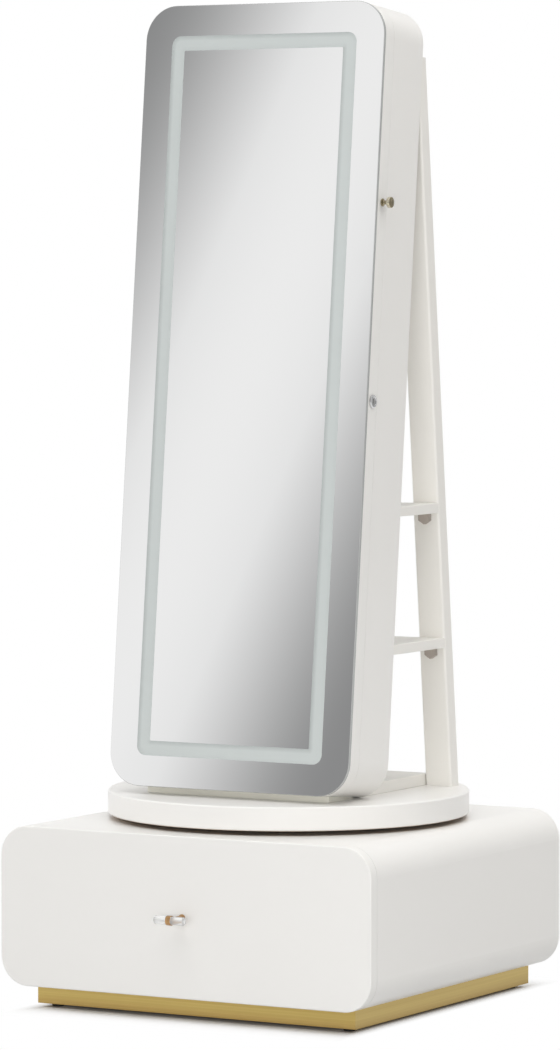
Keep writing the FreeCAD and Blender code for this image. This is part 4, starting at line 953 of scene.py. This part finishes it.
# Painted highlight: the faces of the knob's rim take the pale brass.
highlight_from, highlight_to = 0.0105, 0.0159
for face in knob.faces:
    if highlight_from < face.calc_center_median().x - knob_place.x < highlight_to:
        face.material_index = 1
knob_finishes = (knob_brass, painted_highlight_brass)
finish_piece(knob, "brass_door_knob", knob_finishes, "mirror_door", ("door_knob",), 40)

# %% [markdown]
# ## Lock rim
# The lock below the knob is a small round cam lock. Its flange is flat in the construction model, and a
# real one is pressed to a soft dome round the turning plug, which is what catches the light. The dome is
# a turned ring that lies on the flange and leaves the plug and its keyhole free.

# %% Lock rim
rim_section = (
    (0.0000, 0.0063),
    (0.0000, 0.0099),
    (0.0003, 0.0099),
    (0.0012, 0.0086),
    (0.0012, 0.0076),
    (0.0005, 0.0063),
)
flange_thickness, lock_rise = 0.0018, 0.592
lock_place = lean @ Vector((glass_width / 2 + flange_thickness, fitting_depth, lock_rise))
lock_rim = turned(rim_section, 0.0003, lock_place, (1, 0, 0), 56)
finish_piece(lock_rim, "chrome_lock_rim", (rim_chrome,), "mirror_door", (), 40)

# %% [markdown]
# ## Small screws
# The hinge leaves are held by small cross-head screws. One screw head is a short turned dome with a cross
# sunk into its middle: the flat top is inset, the inner face is cut by four planes, and the five cells
# that form the cross are pushed in. The head is then copied to each place, the right way round.

# %% Screw head
crown_share, border_share, slot_share, cross_share, sink_share = 0.85, 0.12, 0.14, 0.6, 0.6


def screw_head(radius, height):
    section = ((0, 0), (0, radius), (height, crown_share * radius), (height, 0))
    border, slot, reach = border_share * radius, slot_share * radius, cross_share * radius
    head = turned(section, border, Vector(), (0, 0, 1), 24)
    bmesh.ops.remove_doubles(head, verts=head.verts, dist=tiny)

    def crown_faces():
        return [f for f in head.faces if all(abs(v.co.z - height) < tiny for v in f.verts)]

    bmesh.ops.dissolve_faces(head, faces=crown_faces())
    bmesh.ops.inset_region(head, faces=crown_faces(), thickness=border)
    for normal in ((1, 0, 0), (0, 1, 0)):
        for offset in (-slot, slot):
            top = [f for f in crown_faces() if f.calc_center_median().xy.length < reach]
            cells = top + [e for f in top for e in f.edges] + [v for f in top for v in f.verts]
            place = Vector(normal) * offset
            bmesh.ops.bisect_plane(head, geom=list(dict.fromkeys(cells)), plane_co=place, plane_no=normal)
    # Painted shade: the cross takes the nearly black steel, as the recess is too shallow to shade itself.
    cross = []
    for face in crown_faces():
        middle = face.calc_center_median()
        if min(abs(middle.x), abs(middle.y)) < slot and middle.xy.length < reach:
            face.material_index = 1
            cross.append(face)
    sunk = bmesh.ops.extrude_face_region(head, geom=cross)["geom"]
    floor_verts = [v for v in sunk if isinstance(v, bmesh.types.BMVert)]
    bmesh.ops.translate(head, vec=(0, 0, -sink_share * height), verts=floor_verts)
    bmesh.ops.delete(head, geom=cross, context="FACES")
    return head


def screws(name, places, direction, radius, height, body):
    group = bmesh.new()
    for place in places:
        head = screw_head(radius, height)
        turn = Vector((0, 0, 1)).rotation_difference(direction).to_matrix().to_4x4()
        bmesh.ops.transform(head, matrix=Matrix.Translation(place) @ turn, verts=head.verts)
        add_part(group, head)
    return finish_piece(group, name, (zinc_steel, recess_shade_steel), body, (), 30)


print("screw helpers ready")

# %% Hinge screws
into_cabinet = (lean.to_3x3() @ Vector((0, 1, 0))).normalized()
hinge_rises, screw_steps, screw_x = (0.150, 0.596, 1.042), (-0.024, 0.0, 0.024), -0.1995
door_depth, cabinet_depth = 0.0310, 0.0316
screw_radius, screw_height = 0.0026, 0.00022
screw_rises = [rise + step for rise in hinge_rises for step in screw_steps]
door_side = [lean @ Vector((screw_x, door_depth, rise)) for rise in screw_rises]
cabinet_side = [lean @ Vector((screw_x, cabinet_depth, rise)) for rise in screw_rises]
screws("hinge_screws_door", door_side, into_cabinet, screw_radius, screw_height, "mirror_door")
screws("hinge_screws_cabinet", cabinet_side, -into_cabinet, screw_radius, screw_height, "turntable")
